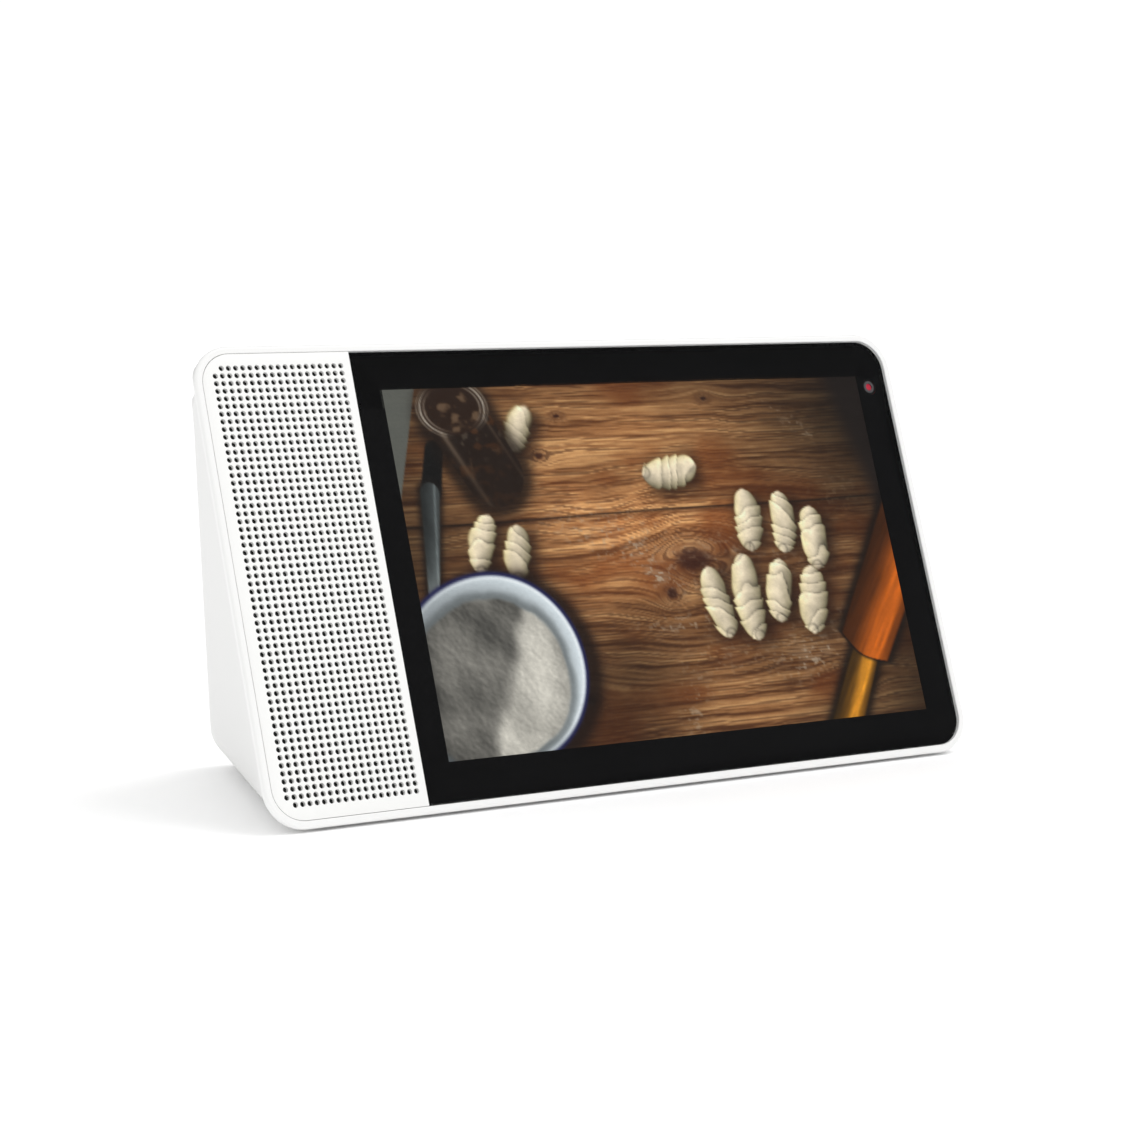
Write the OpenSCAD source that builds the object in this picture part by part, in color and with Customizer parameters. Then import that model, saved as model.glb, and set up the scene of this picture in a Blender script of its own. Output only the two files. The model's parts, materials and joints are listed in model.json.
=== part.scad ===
// Countertop smart display: a wedge-shaped body that leans back, with a perforated
// loudspeaker panel on the left and a glass-fronted screen on the right.
// Origin: centre of the footprint, on the table. X right, Y to the back, Z up.
// Most pieces are drawn "on the face": x right, y up along the screen, -z into the body.

/* [Body] */
// Overall width
body_w = 263.2; // [225:0.1:320]
// Height measured along the leaning front face
face_h = 147; // [135:0.1:178]
// Lean of the front face from upright, in degrees
tilt = 20; // [16:0.5:24]
// Inward slope of the left side going back, in degrees
side_slope = 18.6; // [14:0.5:22]
// Depth of the rear corner behind the face, measured square to the face
corner_depth = 109.9; // [90:0.1:118]
// Thickness of the thin slab behind the screen
slab_d = 12; // [12:0.1:15]
// Wall thickness of the back shell
wall = 2; // [1.4:0.1:2.4]
// Height of the rubber feet under the base
foot_h = 1.4; // [1.2:0.1:3]
// Radius of the corners of the face
corner_r = 12.35; // [9:0.05:15]

/* [Front] */
// Width of the rim round the glass and the grille
rim = 2.35; // [2:0.05:3.2]
// Depth of the front frame's rim
frame_d = 2.6; // [2.4:0.1:3]
// Rounding of the rim's edges
rim_round = 1; // [0.6:0.05:1]
// Width of the dark line between the rim and what it holds
gap_line = 0.15; // [0.1:0.01:0.25]
// How far the glass sits below the rim
recess = 0.15; // [0.1:0.01:0.3]
// Ledge that the glass and the grille rest on
ledge = 1.5; // [1.2:0.1:1.8]
// Thickness of the cover glass
glass_t = 1.1; // [0.9:0.05:1.2]
// Thickness of the black mask film behind the glass
film_t = 0.1; // [0.05:0.01:0.15]

/* [Grille] */
// Width of the loudspeaker grille, with its gap line
grille_w = 50.8; // [44:0.1:60]
// Distance between the centres of the holes
hole_pitch = 2.37; // [2.2:0.01:3]
// Diameter of a hole
hole_d = 1.7; // [1.2:0.05:1.8]
// Solid margin at the left of the hole grid
hole_margin = 4.6; // [4:0.1:6]
// Solid margin at the right of the hole grid
hole_right = 3.4; // [3:0.1:6]
// Solid margin below the hole grid
hole_base = 5; // [4:0.1:6]
// Thickness of the acoustic cloth
cloth_t = 0.4; // [0.2:0.05:0.5]

/* [Screen] */
// Width of the lit picture
picture_w = 185.7; // [150:0.1:186]
// Height of the lit picture
picture_h = 117.2; // [100:0.1:118]
// Black border at the right of the picture
border_right = 12.25; // [12.2:0.05:16]
// Black border above the picture
border_top = 12.4; // [11:0.1:16]
// Thickness of the liquid crystal panel
panel_t = 1.1; // [0.9:0.05:1.2]
// Rim of the panel outside the picture
panel_rim = 0.6; // [0.5:0.05:0.7]
// Thickness of the light guide
guide_t = 0.9; // [0.6:0.05:1]
// Sheet thickness of the backlight tray
tray_t = 0.6; // [0.4:0.05:0.65]
// Sheet thickness of the steel chassis
chassis_t = 1; // [0.8:0.1:1.2]

/* [Loudspeaker] */
// Outer radius of the driver's flange
driver_r = 21.6; // [19:0.1:21.8]
// Radius of the driver's opening in the baffle
driver_hole_r = 18.6; // [17:0.1:19]
// Depth of the closed loudspeaker box
box_d = 34; // [33:0.5:40]
// Wall thickness of the box and the baffle
box_wall = 1.8; // [1.4:0.1:2]
// Radius of a passive radiator's opening
radiator_r = 16; // [13:0.1:16.5]
// Radius of a passive radiator's stiff plate
radiator_plate_r = 11; // [9:0.1:12]
// Height along the face of the lower radiator
lower_y = 30; // [28:0.5:33]
// Height along the face of the driver
driver_y = 69.5; // [69:0.5:72]
// Height along the face of the upper radiator
upper_y = 108.5; // [108:0.5:111]
// Radius of the voice coil
coil_r = 7; // [6:0.1:8]
// Radius of the magnet
magnet_r = 14; // [12:0.1:14.4]

/* [Electronics] */
// Width of the main board
board_w = 64; // [58:1:68]
// Height of the main board
board_h = 46; // [42:1:48]
// Thickness of the circuit boards
board_t = 1.6; // [1:0.1:1.6]
// Height of the standoffs under the main board
standoff_h = 3; // [2.4:0.1:4]
// Width and height of the heat sink
sink_w = 30; // [24:1:34]
// Height of the heat sink's fins
fin_h = 9; // [6:0.5:12]
// Number of fins on the heat sink
fins = 7; // [4:1:9]
// Radius of the opening of the power inlet
inlet_r = 2.8; // [2.6:0.05:3]
// Radius of the power inlet's pin
inlet_pin_r = 1; // [0.8:0.05:1.1]
// Radius of the power inlet's body
inlet_body_r = 5.2; // [4.8:0.1:6]
// Height of the power inlet above the table
inlet_h = 15; // [13:0.5:20]

/* [Camera] */
// Height of the camera below the top of the face
camera_down = 18.65; // [17:0.05:24]
// Distance of the camera from the right edge
camera_in = 9.7; // [9.4:0.05:10]
// Diameter of the clear window in the mask film
window_d = 5.7; // [5.2:0.1:6]
// Outer diameter of the trim ring
ring_d = 4.2; // [4:0.1:4.6]
// Inner diameter of the trim ring
ring_hole_d = 2.4; // [2.2:0.1:2.8]
// Travel of the privacy shutter
shutter_travel = 5; // [4.8:0.1:5.4]

/* [Controls] */
// Length of a volume button
button_l = 14; // [10:0.5:16]
// Width of a volume button
button_w = 3; // [2.4:0.1:3.2]
// Press travel of a volume button
button_travel = 0.5; // [0.3:0.05:0.5]
// Distance between the centres of the volume buttons
button_gap = 22; // [20:0.5:28]
// Length of a slide knob
knob_l = 6; // [4:0.5:7]
// Width of a slide knob
knob_w = 2.2; // [1.8:0.1:2.4]
// Travel of the microphone mute switch
mute_travel = 2; // [1.5:0.1:2.5]
// Distance of the mute switch below the shutter switch
mute_down = 27; // [24:0.5:32]
// Running clearance round moving controls
run_gap = 0.2; // [0.15:0.05:0.3]

/* [Fasteners] */
// Radius of the small screws' shanks
screw_r = 1; // [0.8:0.1:1.2]
// Radius of the small screws' heads
screw_head_r = 1.9; // [1.7:0.1:2.2]
// Height of the screws' heads
screw_head_h = 1.1; // [0.8:0.1:1.3]
// Clearance of a screw in its thread hole
thread_gap = 0.03; // [0.02:0.01:0.05]

/* [Hidden] */
$fn = 72;
little = 0.01;
far = 400;

// ---- Outline of the face
half_w = body_w / 2;
inset_h = face_h - 2 * rim;
side_tan = tan(side_slope);
base_tan = tan(tilt);
base_z = foot_h;

// ---- Levels into the body, measured square to the face
glass_back = recess + glass_t;
seat = glass_back + film_t;
panel_back = seat + panel_t;
guide_back = panel_back + guide_t;
tray_back = guide_back + tray_t;
chassis_front = tray_back + 0.1;
chassis_back = chassis_front + chassis_t;
board_front = chassis_back + standoff_h;
board_back = board_front + board_t;
slab_room = slab_d - wall;

// ---- The back's sloping face: a plane through three points, as depth = a + bx * x + by * y
ridge_top = face_h - 8.4;
ridge_right = half_w - 3.6;
top_x = -half_w + slab_d * side_tan;
right_y = slab_d * base_tan;
tip_x = -half_w + corner_depth * side_tan;
tip_y = corner_depth * base_tan;
skew = (ridge_top - right_y) / (ridge_right - top_x);
by = (corner_depth - slab_d) / (skew * (tip_x - top_x) + tip_y - ridge_top);
bx = by * skew;
ba = slab_d - bx * top_x - by * ridge_top;
back_len = sqrt(1 + bx * bx + by * by);

// ---- Roundings of the back, as depths
base_corner = corner_r / side_tan;
ridge_soft = 5;
roll_soft = 8;
roll_ease = 1.2;
valley_soft = 14;
roll_w = 8;

// Smaller of two depths, with a round where they meet
function soft_min(u, v, r) = abs(u - v) >= r ? min(u, v)
    : (u + v - 2 * r + sqrt(2 * r * r - (u - v) * (u - v))) / 2;
function soft_max(u, v, r) = -soft_min(-u, -v, r);

// Depth of the sloping back face, moved inward by t
function slope_at(x, y, t = 0) = ba + bx * x + by * y - t * back_len;

// Distance of a point inside the outline of the face
function inside(x, y, t) =
    let (r = corner_r - t, qx = abs(x) - (half_w - corner_r),
        qy = abs(y - face_h / 2) - (face_h / 2 - corner_r))
    r - norm([max(qx, 0), max(qy, 0)]) - min(max(qx, qy), 0);

// Rolled edge of the slab: a quarter ellipse that starts behind the front frame
function rolled(d, t) = frame_d + (slab_room - frame_d + wall - t)
    * sqrt(1 - pow(1 - min(max(d, 0) / roll_w, 1), 2)) + 3 * max(d - roll_w, 0);

// Depth of the back shell at a point of the face; t is the distance inside its outer skin
function back_at(x, y, t = 0) =
    let (left = (x + half_w) / side_tan - t / sin(side_slope),
        base = y / base_tan - t / sin(tilt),
        slab = soft_max(slab_d - t, slope_at(x, y, t), valley_soft),
        sides = soft_min(left, base, base_corner),
        edge = min(half_w - x, face_h - y) < roll_w * 1.5 ? rolled(inside(x, y, t), t) : far,
        round = max(0, min(roll_soft, roll_ease * (min(edge, sides) - frame_d))))
    max(frame_d, min(soft_min(edge, sides, round), soft_min(sides, slab, ridge_soft)));

// ---- Back shell grid: rings from the rear corner out to the front frame
shell_gap = 0.4;
corner_steps = 8;
side_steps = [13, 34, 13, 36];
spokes = 4 * corner_steps + side_steps[0] + side_steps[1] + side_steps[2] + side_steps[3];
ring_step = 14;
rings = ceil(body_w / ring_step);
shell_lo = [-half_w + frame_d * side_tan, frame_d * base_tan];
shell_hi = [half_w - shell_gap, face_h - shell_gap];
tip = [tip_x, tip_y];

// Points round the shell's front edge, t inside it: each corner's arc, then the side after it
function shell_edge(t) =
    let (r = corner_r - shell_gap - t, a = shell_lo + [t + r, t + r], b = shell_hi - [t + r, t + r],
        c = [[b.x, a.y], b, [a.x, b.y], a])
    [for (k = [0 : 3])
        let (out = r * [cos(90 * k), sin(90 * k)], from = c[k] + out, to = c[(k + 1) % 4] + out)
        each concat(
            [for (i = [0 : corner_steps - 1])
                let (turn = 90 * (k - 1 + i / corner_steps)) c[k] + r * [cos(turn), sin(turn)]],
            [for (i = [0 : side_steps[k] - 1]) from + (to - from) * i / side_steps[k]])];

function ring_points(t) =
    let (edge = shell_edge(t))
    [for (j = [1 : rings]) for (e = edge)
        let (p = tip + (e - tip) * (1 - cos(180 * j / rings)) / 2)
        [p.x, p.y, j == rings ? -frame_d : -back_at(p.x, p.y, t)]];

module at_face() {
    translate([0, front_y, base_z]) rotate([90 - tilt, 0, 0]) children();
}
front_y = -56.455;

// A flat piece on the face, from one depth to another
module layer(from, to) {
    translate([0, 0, -to]) linear_extrude(to - from) children();
}

module rounded(lo, hi, r) {
    translate([lo.x + r, lo.y]) square([hi.x - lo.x - 2 * r, hi.y - lo.y]);
    translate([lo.x, lo.y + r]) square([hi.x - lo.x, hi.y - lo.y - 2 * r]);
    for (x = [lo.x + r, hi.x - r]) {
        for (y = [lo.y + r, hi.y - r]) {
            translate([x, y]) circle(r);
        }
    }
}

module face_outline(t) {
    rounded([-half_w + t, t], [half_w - t, face_h - t], corner_r - t);
}

module box_from(lo, hi) {
    translate(lo) cube(hi - lo);
}

// A straight rod between two points
module rod(from, to, r) {
    v = to - from;
    translate(from) rotate([0, acos(v.z / norm(v)), atan2(v.y, v.x)]) cylinder(h = norm(v), r = r);
}

// Cuts its children back to lie inside the shell, t from its outer skin
module kept_inside(t) {
    difference() {
        children();
        translate([-half_w + t / cos(side_slope), 0, 0]) rotate([0, -side_slope, 0])
            translate([-far, -far, -far]) cube([far, 2 * far, 2 * far]);
        translate([0, t / cos(tilt), 0]) rotate([tilt, 0, 0])
            translate([-far, -far, -far]) cube([2 * far, far, 2 * far]);
        corner_cut(t);
    }
}

// Takes off the sharp corner between the left side and the base
module corner_cut(t) {
    lift = corner_r * (2 - sqrt(2)) + t / cos(side_slope) + t / cos(tilt);
    n = [-1, -1, -(side_tan + base_tan)];
    translate([-half_w + lift / 2, lift / 2, 0])
        rotate([0, acos(n.z / norm(n)), atan2(n.y, n.x)]) cylinder(h = far, r = far);
}

// Cuts its children back behind the sloping face of the shell, t from its outer skin
module behind_slope(t) {
    n = [-bx, -by, -1];
    difference() {
        children();
        translate([tip_x, tip_y, -slope_at(tip_x, tip_y, t)])
            rotate([0, acos(n.z / norm(n)), atan2(n.y, n.x)])
                translate([-far, -far, 0]) cube([2 * far, 2 * far, far]);
    }
}

white = [0.93, 0.93, 0.92];
split_x = -half_w + rim + grille_w;
ledge_in = rim + ledge;
divider = 1.6;

// ---- Front frame and what it holds
boss_r = 2.4;
boss_low = 8.2;
boss_high = face_h - 7.6;
boss_xs = [split_x + 14, (split_x + half_w) / 2, half_w - 22];
boss_spots = [for (x = boss_xs) for (y = [boss_low, boss_high]) [x, y]];

module rim_profile() {
    // Outer edge rounded at the front and the back, in (inward, outward from the back)
    intersection() {
        square([rim + ledge, frame_d]);
        union() {
            translate([rim_round, rim_round]) circle(rim_round);
            translate([rim_round, frame_d - rim_round]) circle(rim_round);
            translate([0, rim_round]) square([rim_round, frame_d - 2 * rim_round]);
            translate([rim_round, 0]) square([rim + ledge, frame_d]);
        }
    }
}

module rim_corner(x, y, turn) {
    translate([x, y, -frame_d]) rotate([0, 0, turn]) rotate_extrude(angle = 90)
        translate([corner_r, 0]) mirror([1, 0]) rim_profile();
}

module rim_bar(length) {
    rotate([90, 0, 90]) linear_extrude(length) rim_profile();
}

module front_frame() {
    x = half_w - corner_r;
    y = face_h - corner_r;
    color(white) at_face() difference() {
        union() {
            rim_corner(x, y, 0);
            rim_corner(-x, y, 90);
            rim_corner(-x, corner_r, 180);
            rim_corner(x, corner_r, 270);
            translate([-x, 0, -frame_d]) rim_bar(2 * x);
            translate([x, face_h, -frame_d]) rotate([0, 0, 180]) rim_bar(2 * x);
            translate([half_w, corner_r, -frame_d]) rotate([0, 0, 90]) rim_bar(y - corner_r);
            translate([-half_w, y, -frame_d]) rotate([0, 0, -90]) rim_bar(y - corner_r);
            layer(seat, frame_d) translate([split_x - divider, rim])
                square([2 * divider, inset_h]);
            for (p = boss_spots) {
                translate([p.x, p.y, -chassis_front]) cylinder(h = chassis_front - seat, r = boss_r);
                layer(seat, frame_d) translate([p.x - boss_r, p.y > face_h / 2 ? p.y : rim])
                    square([2 * boss_r, p.y > face_h / 2 ? face_h - rim - p.y : p.y - rim]);
            }
        }
        translate([0, 0, -seat]) linear_extrude(far) face_outline(rim);
        for (p = boss_spots) {
            translate([p.x, p.y, -chassis_front - little])
                cylinder(h = chassis_front - seat - 0.4, r = screw_r + thread_gap);
        }
    }
}

hole_cols = floor((grille_w - gap_line - hole_margin - hole_right) / hole_pitch + 0.5) + 1;
hole_rows = floor((inset_h - 2 * hole_base) / hole_pitch + 0.5) + 1;
hole_x = -half_w + rim + hole_margin;
hole_y = rim + hole_base;

module hole_grid() {
    for (i = [0 : hole_cols - 1]) {
        for (j = [0 : hole_rows - 1]) {
            if (i > 0 || (j > 0 && j < hole_rows - 1)) {
                translate([hole_x + i * hole_pitch, hole_y + j * hole_pitch]) circle(d = hole_d);
            }
        }
    }
}

module grille_outline(t) {
    intersection() {
        face_outline(rim + t);
        translate([-half_w, 0]) square([rim + grille_w - t, face_h]);
    }
}

// The opening in the frame behind the grille
module behind_grille(t) {
    intersection() {
        face_outline(ledge_in + t);
        translate([-half_w, 0]) square([rim + grille_w - divider - t, face_h]);
    }
}

module speaker_grille() {
    color(white) at_face() layer(recess, seat) difference() {
        grille_outline(gap_line);
        hole_grid();
    }
}

module acoustic_cloth() {
    color([0.03, 0.03, 0.03]) at_face() layer(seat, seat + cloth_t)
        behind_grille(run_gap);
}

module glass_outline(t) {
    intersection() {
        face_outline(rim + t);
        translate([split_x, 0]) square([body_w, face_h]);
    }
}

module cover_glass() {
    color([0.05, 0.05, 0.06, 0.4]) at_face() layer(recess, glass_back) glass_outline(gap_line);
}

picture_lo = [half_w - rim - border_right - picture_w, face_h - rim - border_top - picture_h];
picture_hi = picture_lo + [picture_w, picture_h];
camera = [half_w - camera_in, face_h - camera_down];

module mask_film() {
    color([0.02, 0.02, 0.02]) at_face() layer(glass_back, seat) difference() {
        glass_outline(gap_line);
        translate(picture_lo) square([picture_w, picture_h]);
        translate(camera) circle(d = window_d);
    }
}

panel_lo = picture_lo - [panel_rim, panel_rim];
panel_hi = picture_hi + [panel_rim, panel_rim];

module panel_outline(t) {
    translate(panel_lo - [t, t]) square(panel_hi - panel_lo + [2 * t, 2 * t]);
}

module lcd_panel() {
    color([0.3, 0.2, 0.12]) at_face() layer(seat, panel_back) panel_outline(0);
}

module light_guide() {
    color([0.9, 0.92, 0.95]) at_face() layer(panel_back, guide_back) panel_outline(-0.3);
}

module backlight_tray() {
    color([0.75, 0.75, 0.77]) at_face() difference() {
        layer(seat + tray_step, tray_back) panel_outline(tray_t);
        layer(0, guide_back) panel_outline(0);
        layer(0, seat + flex_room) translate([flex_x - flex_gap, 0])
            square([flex_w + 2 * flex_gap, face_h / 2]);
    }
}

// ---- Chassis: a steel plate with a flange folded along the base
chassis_lo = [split_x + divider + 1, ledge_in + 1.2];
chassis_hi = [half_w - ledge_in - 1, face_h - ledge_in - 1.5];
tray_step = 0.2;
tab_half = 6;
tab_front = 7;
tab_rear = 5;
tab_t = 3;
flex_w = 24;
flex_gap = 1;
flex_room = 0.7;
flex_notch = 6;
camera_bay_low = 13;
camera_bay_h = 27;
camera_bay_more = 4;
mute_bay = 18;
flex_x = picture_lo.x + 28;
flange_z = base_z + wall + shell_gap;
base_screw_y = front_y + 12.5;
base_screw_xs = [split_x + 28, (split_x + half_w) / 2 + 16];
board_hole_in = 3.5;
camera_bay = 11;

board_lo = [split_x + 9, 15];
board_spots = [for (x = [board_hole_in, board_w - board_hole_in])
    for (y = [board_hole_in, board_h - board_hole_in]) board_lo + [x, y]];
standoff_r = 2.4;

module chassis() {
    color([0.6, 0.6, 0.62]) {
        difference() {
            union() {
                at_face() layer(chassis_front, chassis_back) intersection() {
                    translate(chassis_lo) square(chassis_hi - chassis_lo);
                    face_outline(ledge_in + 1);
                }
                at_face() for (p = board_spots) {
                    translate([p.x, p.y, -board_front]) cylinder(h = standoff_h + little, r = standoff_r);
                }
                for (x = base_screw_xs) {
                    box_from([x - tab_half, base_screw_y - tab_front, flange_z],
                        [x + tab_half, base_screw_y + tab_rear, flange_z + tab_t]);
                }
            }
            at_face() {
                layer(0, chassis_front) translate([-half_w, 0]) square([body_w, face_h]);
                for (p = boss_spots) {
                    translate([p.x, p.y, -chassis_back - little])
                        cylinder(h = 2 * chassis_t, r = screw_r + run_gap);
                }
                for (p = board_spots) {
                    translate([p.x, p.y, -board_front - little])
                        cylinder(h = standoff_h, r = screw_r + thread_gap);
                }
                layer(0, slab_d) translate([flex_x - flex_gap, 0])
                    square([flex_w + 2 * flex_gap, chassis_lo.y + flex_notch]);
                layer(0, slab_d) translate([camera.x - camera_bay / 2, camera.y - camera_bay_low])
                    square([camera_bay + camera_bay_more, camera_bay_h]);
                layer(0, slab_d) translate([camera.x - 1, mute_y - mute_bay / 2])
                    square([camera_bay, mute_bay]);
            }
            for (x = base_screw_xs) {
                translate([x, base_screw_y, flange_z - 1])
                    cylinder(h = tab_t + 2, r = screw_r + thread_gap);
            }
        }
    }
}

// ---- Back shell, feet and shell screws
control_d = 6.8;
shutter_y = camera.y;
mute_y = camera.y - mute_down;
button_x = half_w - 46;
button_xs = [button_x - button_gap, button_x];
mic_xs = [-40, 20];
mic_port_r = 0.6;
mic_back = frame_d + 3;
mic_in = 4;
slot_reach = 12;
slot_in = 8;
screw_hole_h = 20;
slot_l = knob_l + 2 * run_gap;
rear_screw = [tip_x + 8, 26];
screw_spots = concat([for (x = base_screw_xs) [x, base_screw_y]], [rear_screw]);

module shell_skin() {
    n = spokes * rings;
    tips = [[tip_x, tip_y, -back_at(tip_x, tip_y)], [tip_x, tip_y, -back_at(tip_x, tip_y, wall)]];
    fans = [for (i = [0 : spokes - 1]) let (k = (i + 1) % spokes)
        each [[2 * n, i, k], [2 * n + 1, n + k, n + i]]];
    skins = [for (j = [0 : rings - 2]) for (i = [0 : spokes - 1])
        let (k = (i + 1) % spokes, a = j * spokes + i, b = j * spokes + k, c = a + spokes, d = b + spokes)
        each [[a, c, d], [a, d, b], [n + a, n + d, n + c], [n + a, n + b, n + d]]];
    lip = [for (i = [0 : spokes - 1]) let (k = (i + 1) % spokes, a = n - spokes + i, b = n - spokes + k)
        each [[a, n + a, n + b], [a, n + b, b]]];
    polyhedron(points = concat(ring_points(0), ring_points(wall), tips), faces = concat(fans, skins, lip));
}

module back_shell() {
    color(white) difference() {
        at_face() shell_skin();
        at_face() {
            for (x = button_xs) {
                translate([x, face_h - slot_in, -control_d]) rotate([-90, 0, 0])
                    linear_extrude(slot_reach) pill(button_l + 2 * run_gap, button_w + 2 * run_gap);
            }
            for (x = mic_xs) {
                translate([x, face_h - mic_in, -(frame_d + mic_back) / 2]) rotate([-90, 0, 0])
                    cylinder(h = 2 * mic_in, r = mic_port_r);
            }
            knob_slot(shutter_y - shutter_travel / 2, slot_l + shutter_travel);
            knob_slot(mute_y, slot_l + mute_travel);
        }
        inlet_place() translate([0, 0, -2 * inlet_l]) cylinder(h = 4 * inlet_l, r = inlet_body_r + run_gap);
        for (p = screw_spots) {
            translate([p.x, p.y, 0]) cylinder(h = screw_hole_h, r = screw_r + run_gap);
        }
    }
}

module pill(length, width) {
    translate([(width - length) / 2, -width / 2]) square([length - width, width]);
    for (side = [-1, 1]) {
        translate([side * (length - width) / 2, 0]) circle(d = width);
    }
}

module knob_slot(y, length) {
    translate([half_w - slot_in, y, -control_d]) rotate([0, 90, 0])
        linear_extrude(slot_reach) rotate([0, 0, 90]) pill(length, knob_w + 2 * run_gap);
}

foot_end = 32;
foot_l = body_w - 2 * foot_end;
foot_d = 7;
rear_foot_l = 34;
rear_foot_shift = 10;
head_sink = 0.1;

module foot_strip(p, length) {
    difference() {
        translate([p.x, p.y, 0]) linear_extrude(base_z) pill(length, foot_d);
        for (s = screw_spots) {
            translate([s.x, s.y, base_z - screw_head_h - head_sink])
                cylinder(h = far, r = screw_head_r + run_gap);
        }
    }
}

module front_foot() {
    color([0.25, 0.25, 0.25]) foot_strip([0, base_screw_y], foot_l);
}

module rear_foot() {
    color([0.25, 0.25, 0.25]) foot_strip([rear_screw.x + rear_foot_shift, rear_screw.y], rear_foot_l);
}

module screw(length) {
    // Head at z = 0 and above, shank below
    difference() {
        cylinder(h = screw_head_h, r = screw_head_r);
        translate([0, 0, screw_head_h / 2]) cylinder(h = screw_head_h, r = screw_r * 0.7, $fn = 6);
    }
    translate([0, 0, -length]) cylinder(h = length + little, r = screw_r);
}

module shell_screws() {
    color([0.4, 0.4, 0.42]) for (p = screw_spots) {
        translate([p.x, p.y, base_z]) rotate([180, 0, 0]) screw(5);
    }
}

module chassis_screws() {
    color([0.7, 0.7, 0.72]) at_face() for (p = boss_spots) {
        translate([p.x, p.y, -chassis_back]) rotate([180, 0, 0]) screw(chassis_t + 1.6);
    }
}

// ---- Loudspeaker

baffle_front = seat + cloth_t + 1;
baffle_back = baffle_front + box_wall;
box_gap = 1.2;
box_lo = [-half_w + ledge_in + 0.2, 6];
box_hi = [split_x - 0.2, face_h - 1.5 * roll_w - 0.5];
flange_t = 1.5;
flange_back = baffle_back + flange_t;
box_left = -half_w + flange_back * side_tan + (wall + box_gap + box_wall) / cos(side_slope);
speaker_x = (box_left + box_hi.x - box_wall) / 2;
radiators = [[speaker_x, lower_y], [speaker_x, upper_y]];

module speaker_gasket() {
    color([0.1, 0.1, 0.1]) at_face() layer(seat + cloth_t, baffle_front) difference() {
        behind_grille(1);
        translate([speaker_x, driver_y]) circle(driver_hole_r);
        for (p = radiators) {
            translate(p) circle(radiator_r);
        }
    }
}

module speaker_baffle() {
    color([0.12, 0.12, 0.12]) at_face() kept_inside(wall + box_gap)
        layer(baffle_front, baffle_back) difference() {
            translate(box_lo) square(box_hi - box_lo);
            translate([speaker_x, driver_y]) circle(driver_hole_r);
            for (p = radiators) {
                translate(p) circle(radiator_r);
            }
        }
}

// Room for the loudspeaker box, t inside its outer faces
module box_room(t) {
    kept_inside(wall + box_gap + t) {
        layer(baffle_back - (t > 0 ? 1 : 0), slab_room - 0.6 - t) translate(box_lo + [t, t])
            square(box_hi - box_lo - [2 * t, 2 * t]);
        behind_slope(wall + 1.5 * box_gap + t) layer(baffle_back - (t > 0 ? 1 : 0), box_d - t)
            translate(box_lo + [t, t]) square(box_hi - box_lo - [2 * t, 2 * t]);
    }
}

module speaker_box() {
    color([0.12, 0.12, 0.12]) difference() {
        union() {
            at_face() difference() {
                box_room(0);
                box_room(box_wall);
            }
            translate([rear_screw.x, rear_screw.y, 0]) rear_post();
        }
        translate([rear_screw.x, rear_screw.y, base_z + wall]) cylinder(h = 6, r = screw_r + thread_gap);
    }
}

module rear_post() {
    // A bracket from the box's rear wall down to the base, for the rear screw
    reach = rear_screw.y - box_rear_y;
    translate([-post_w / 2, -reach, base_z + wall + box_gap]) cube([post_w, reach + post_w / 2, post_t]);
}
box_rear_y = front_y + (box_d - 1) / cos(tilt);
post_w = 12;
post_t = 3;

module speaker_part(y = driver_y) {
    at_face() translate([speaker_x, y, 0]) children();
}

// Turns a profile of (radius, depth) points about the driver's axis
module turned(points) {
    rotate_extrude() polygon([for (p = points) [p[0], -p[1]]]);
}

cone_top = flange_back - 0.5;
cone_low = cone_top + 7;
cone_r = driver_hole_r - 4;
skin = 0.4;
plate_top = flange_back + 10.5;
plate_t = 2;
magnet_t = 6;
yoke_t = 2;
yoke_back = plate_top + plate_t + magnet_t + yoke_t;
basket_t = 1;
basket_low_r = magnet_r - 1.5;
plate_r = magnet_r - 0.5;
vent_w = 8;
vent_low = 2.5;
coil_gap = 0.8;
coil_t = 0.4;
coil_l = 9;
spider_drop = 3;

module speaker_basket() {
    color([0.2, 0.2, 0.2]) speaker_part() difference() {
        turned([[driver_hole_r, baffle_back], [driver_r, baffle_back], [driver_r, flange_back],
            [basket_low_r, plate_top], [coil_r + 1.5, plate_top], [coil_r + 1.5, plate_top - basket_t],
            [basket_low_r - 1, plate_top - basket_t], [driver_hole_r, flange_back]]);
        for (a = [0 : 60 : 300]) {
            rotate([0, 0, a]) translate([basket_low_r + 1, -vent_w / 2, -plate_top + vent_low])
                cube([2 * driver_r, vent_w, plate_top - flange_back - vent_low - flange_t]);
        }
    }
}

module top_plate() {
    color([0.7, 0.7, 0.7]) speaker_part() turned([[coil_r + coil_gap, plate_top], [plate_r, plate_top],
        [plate_r, plate_top + plate_t], [coil_r + coil_gap, plate_top + plate_t]]);
}

module speaker_magnet() {
    low = plate_top + plate_t;
    color([0.25, 0.25, 0.27]) speaker_part() turned([[coil_r + 2, low], [magnet_r, low],
        [magnet_r, low + magnet_t], [coil_r + 2, low + magnet_t]]);
}

module pole_yoke() {
    low = plate_top + plate_t + magnet_t;
    color([0.7, 0.7, 0.7]) speaker_part() turned([[0, plate_top], [coil_r - coil_gap, plate_top],
        [coil_r - coil_gap, low], [plate_r, low], [plate_r, yoke_back], [0, yoke_back]]);
}

module voice_coil() {
    color([0.7, 0.4, 0.2]) speaker_part() turned([[coil_r - coil_t, cone_low - 1], [coil_r, cone_low - 1],
        [coil_r, cone_low - 1 + coil_l], [coil_r - coil_t, cone_low - 1 + coil_l]]);
}

module speaker_cone() {
    color([0.15, 0.15, 0.15]) speaker_part() turned([[cone_r - 0.6, cone_top], [cone_r + 0.4, cone_top],
        [coil_r + 0.6, cone_low], [coil_r, cone_low], [coil_r, cone_low - 0.6]]);
}

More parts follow.
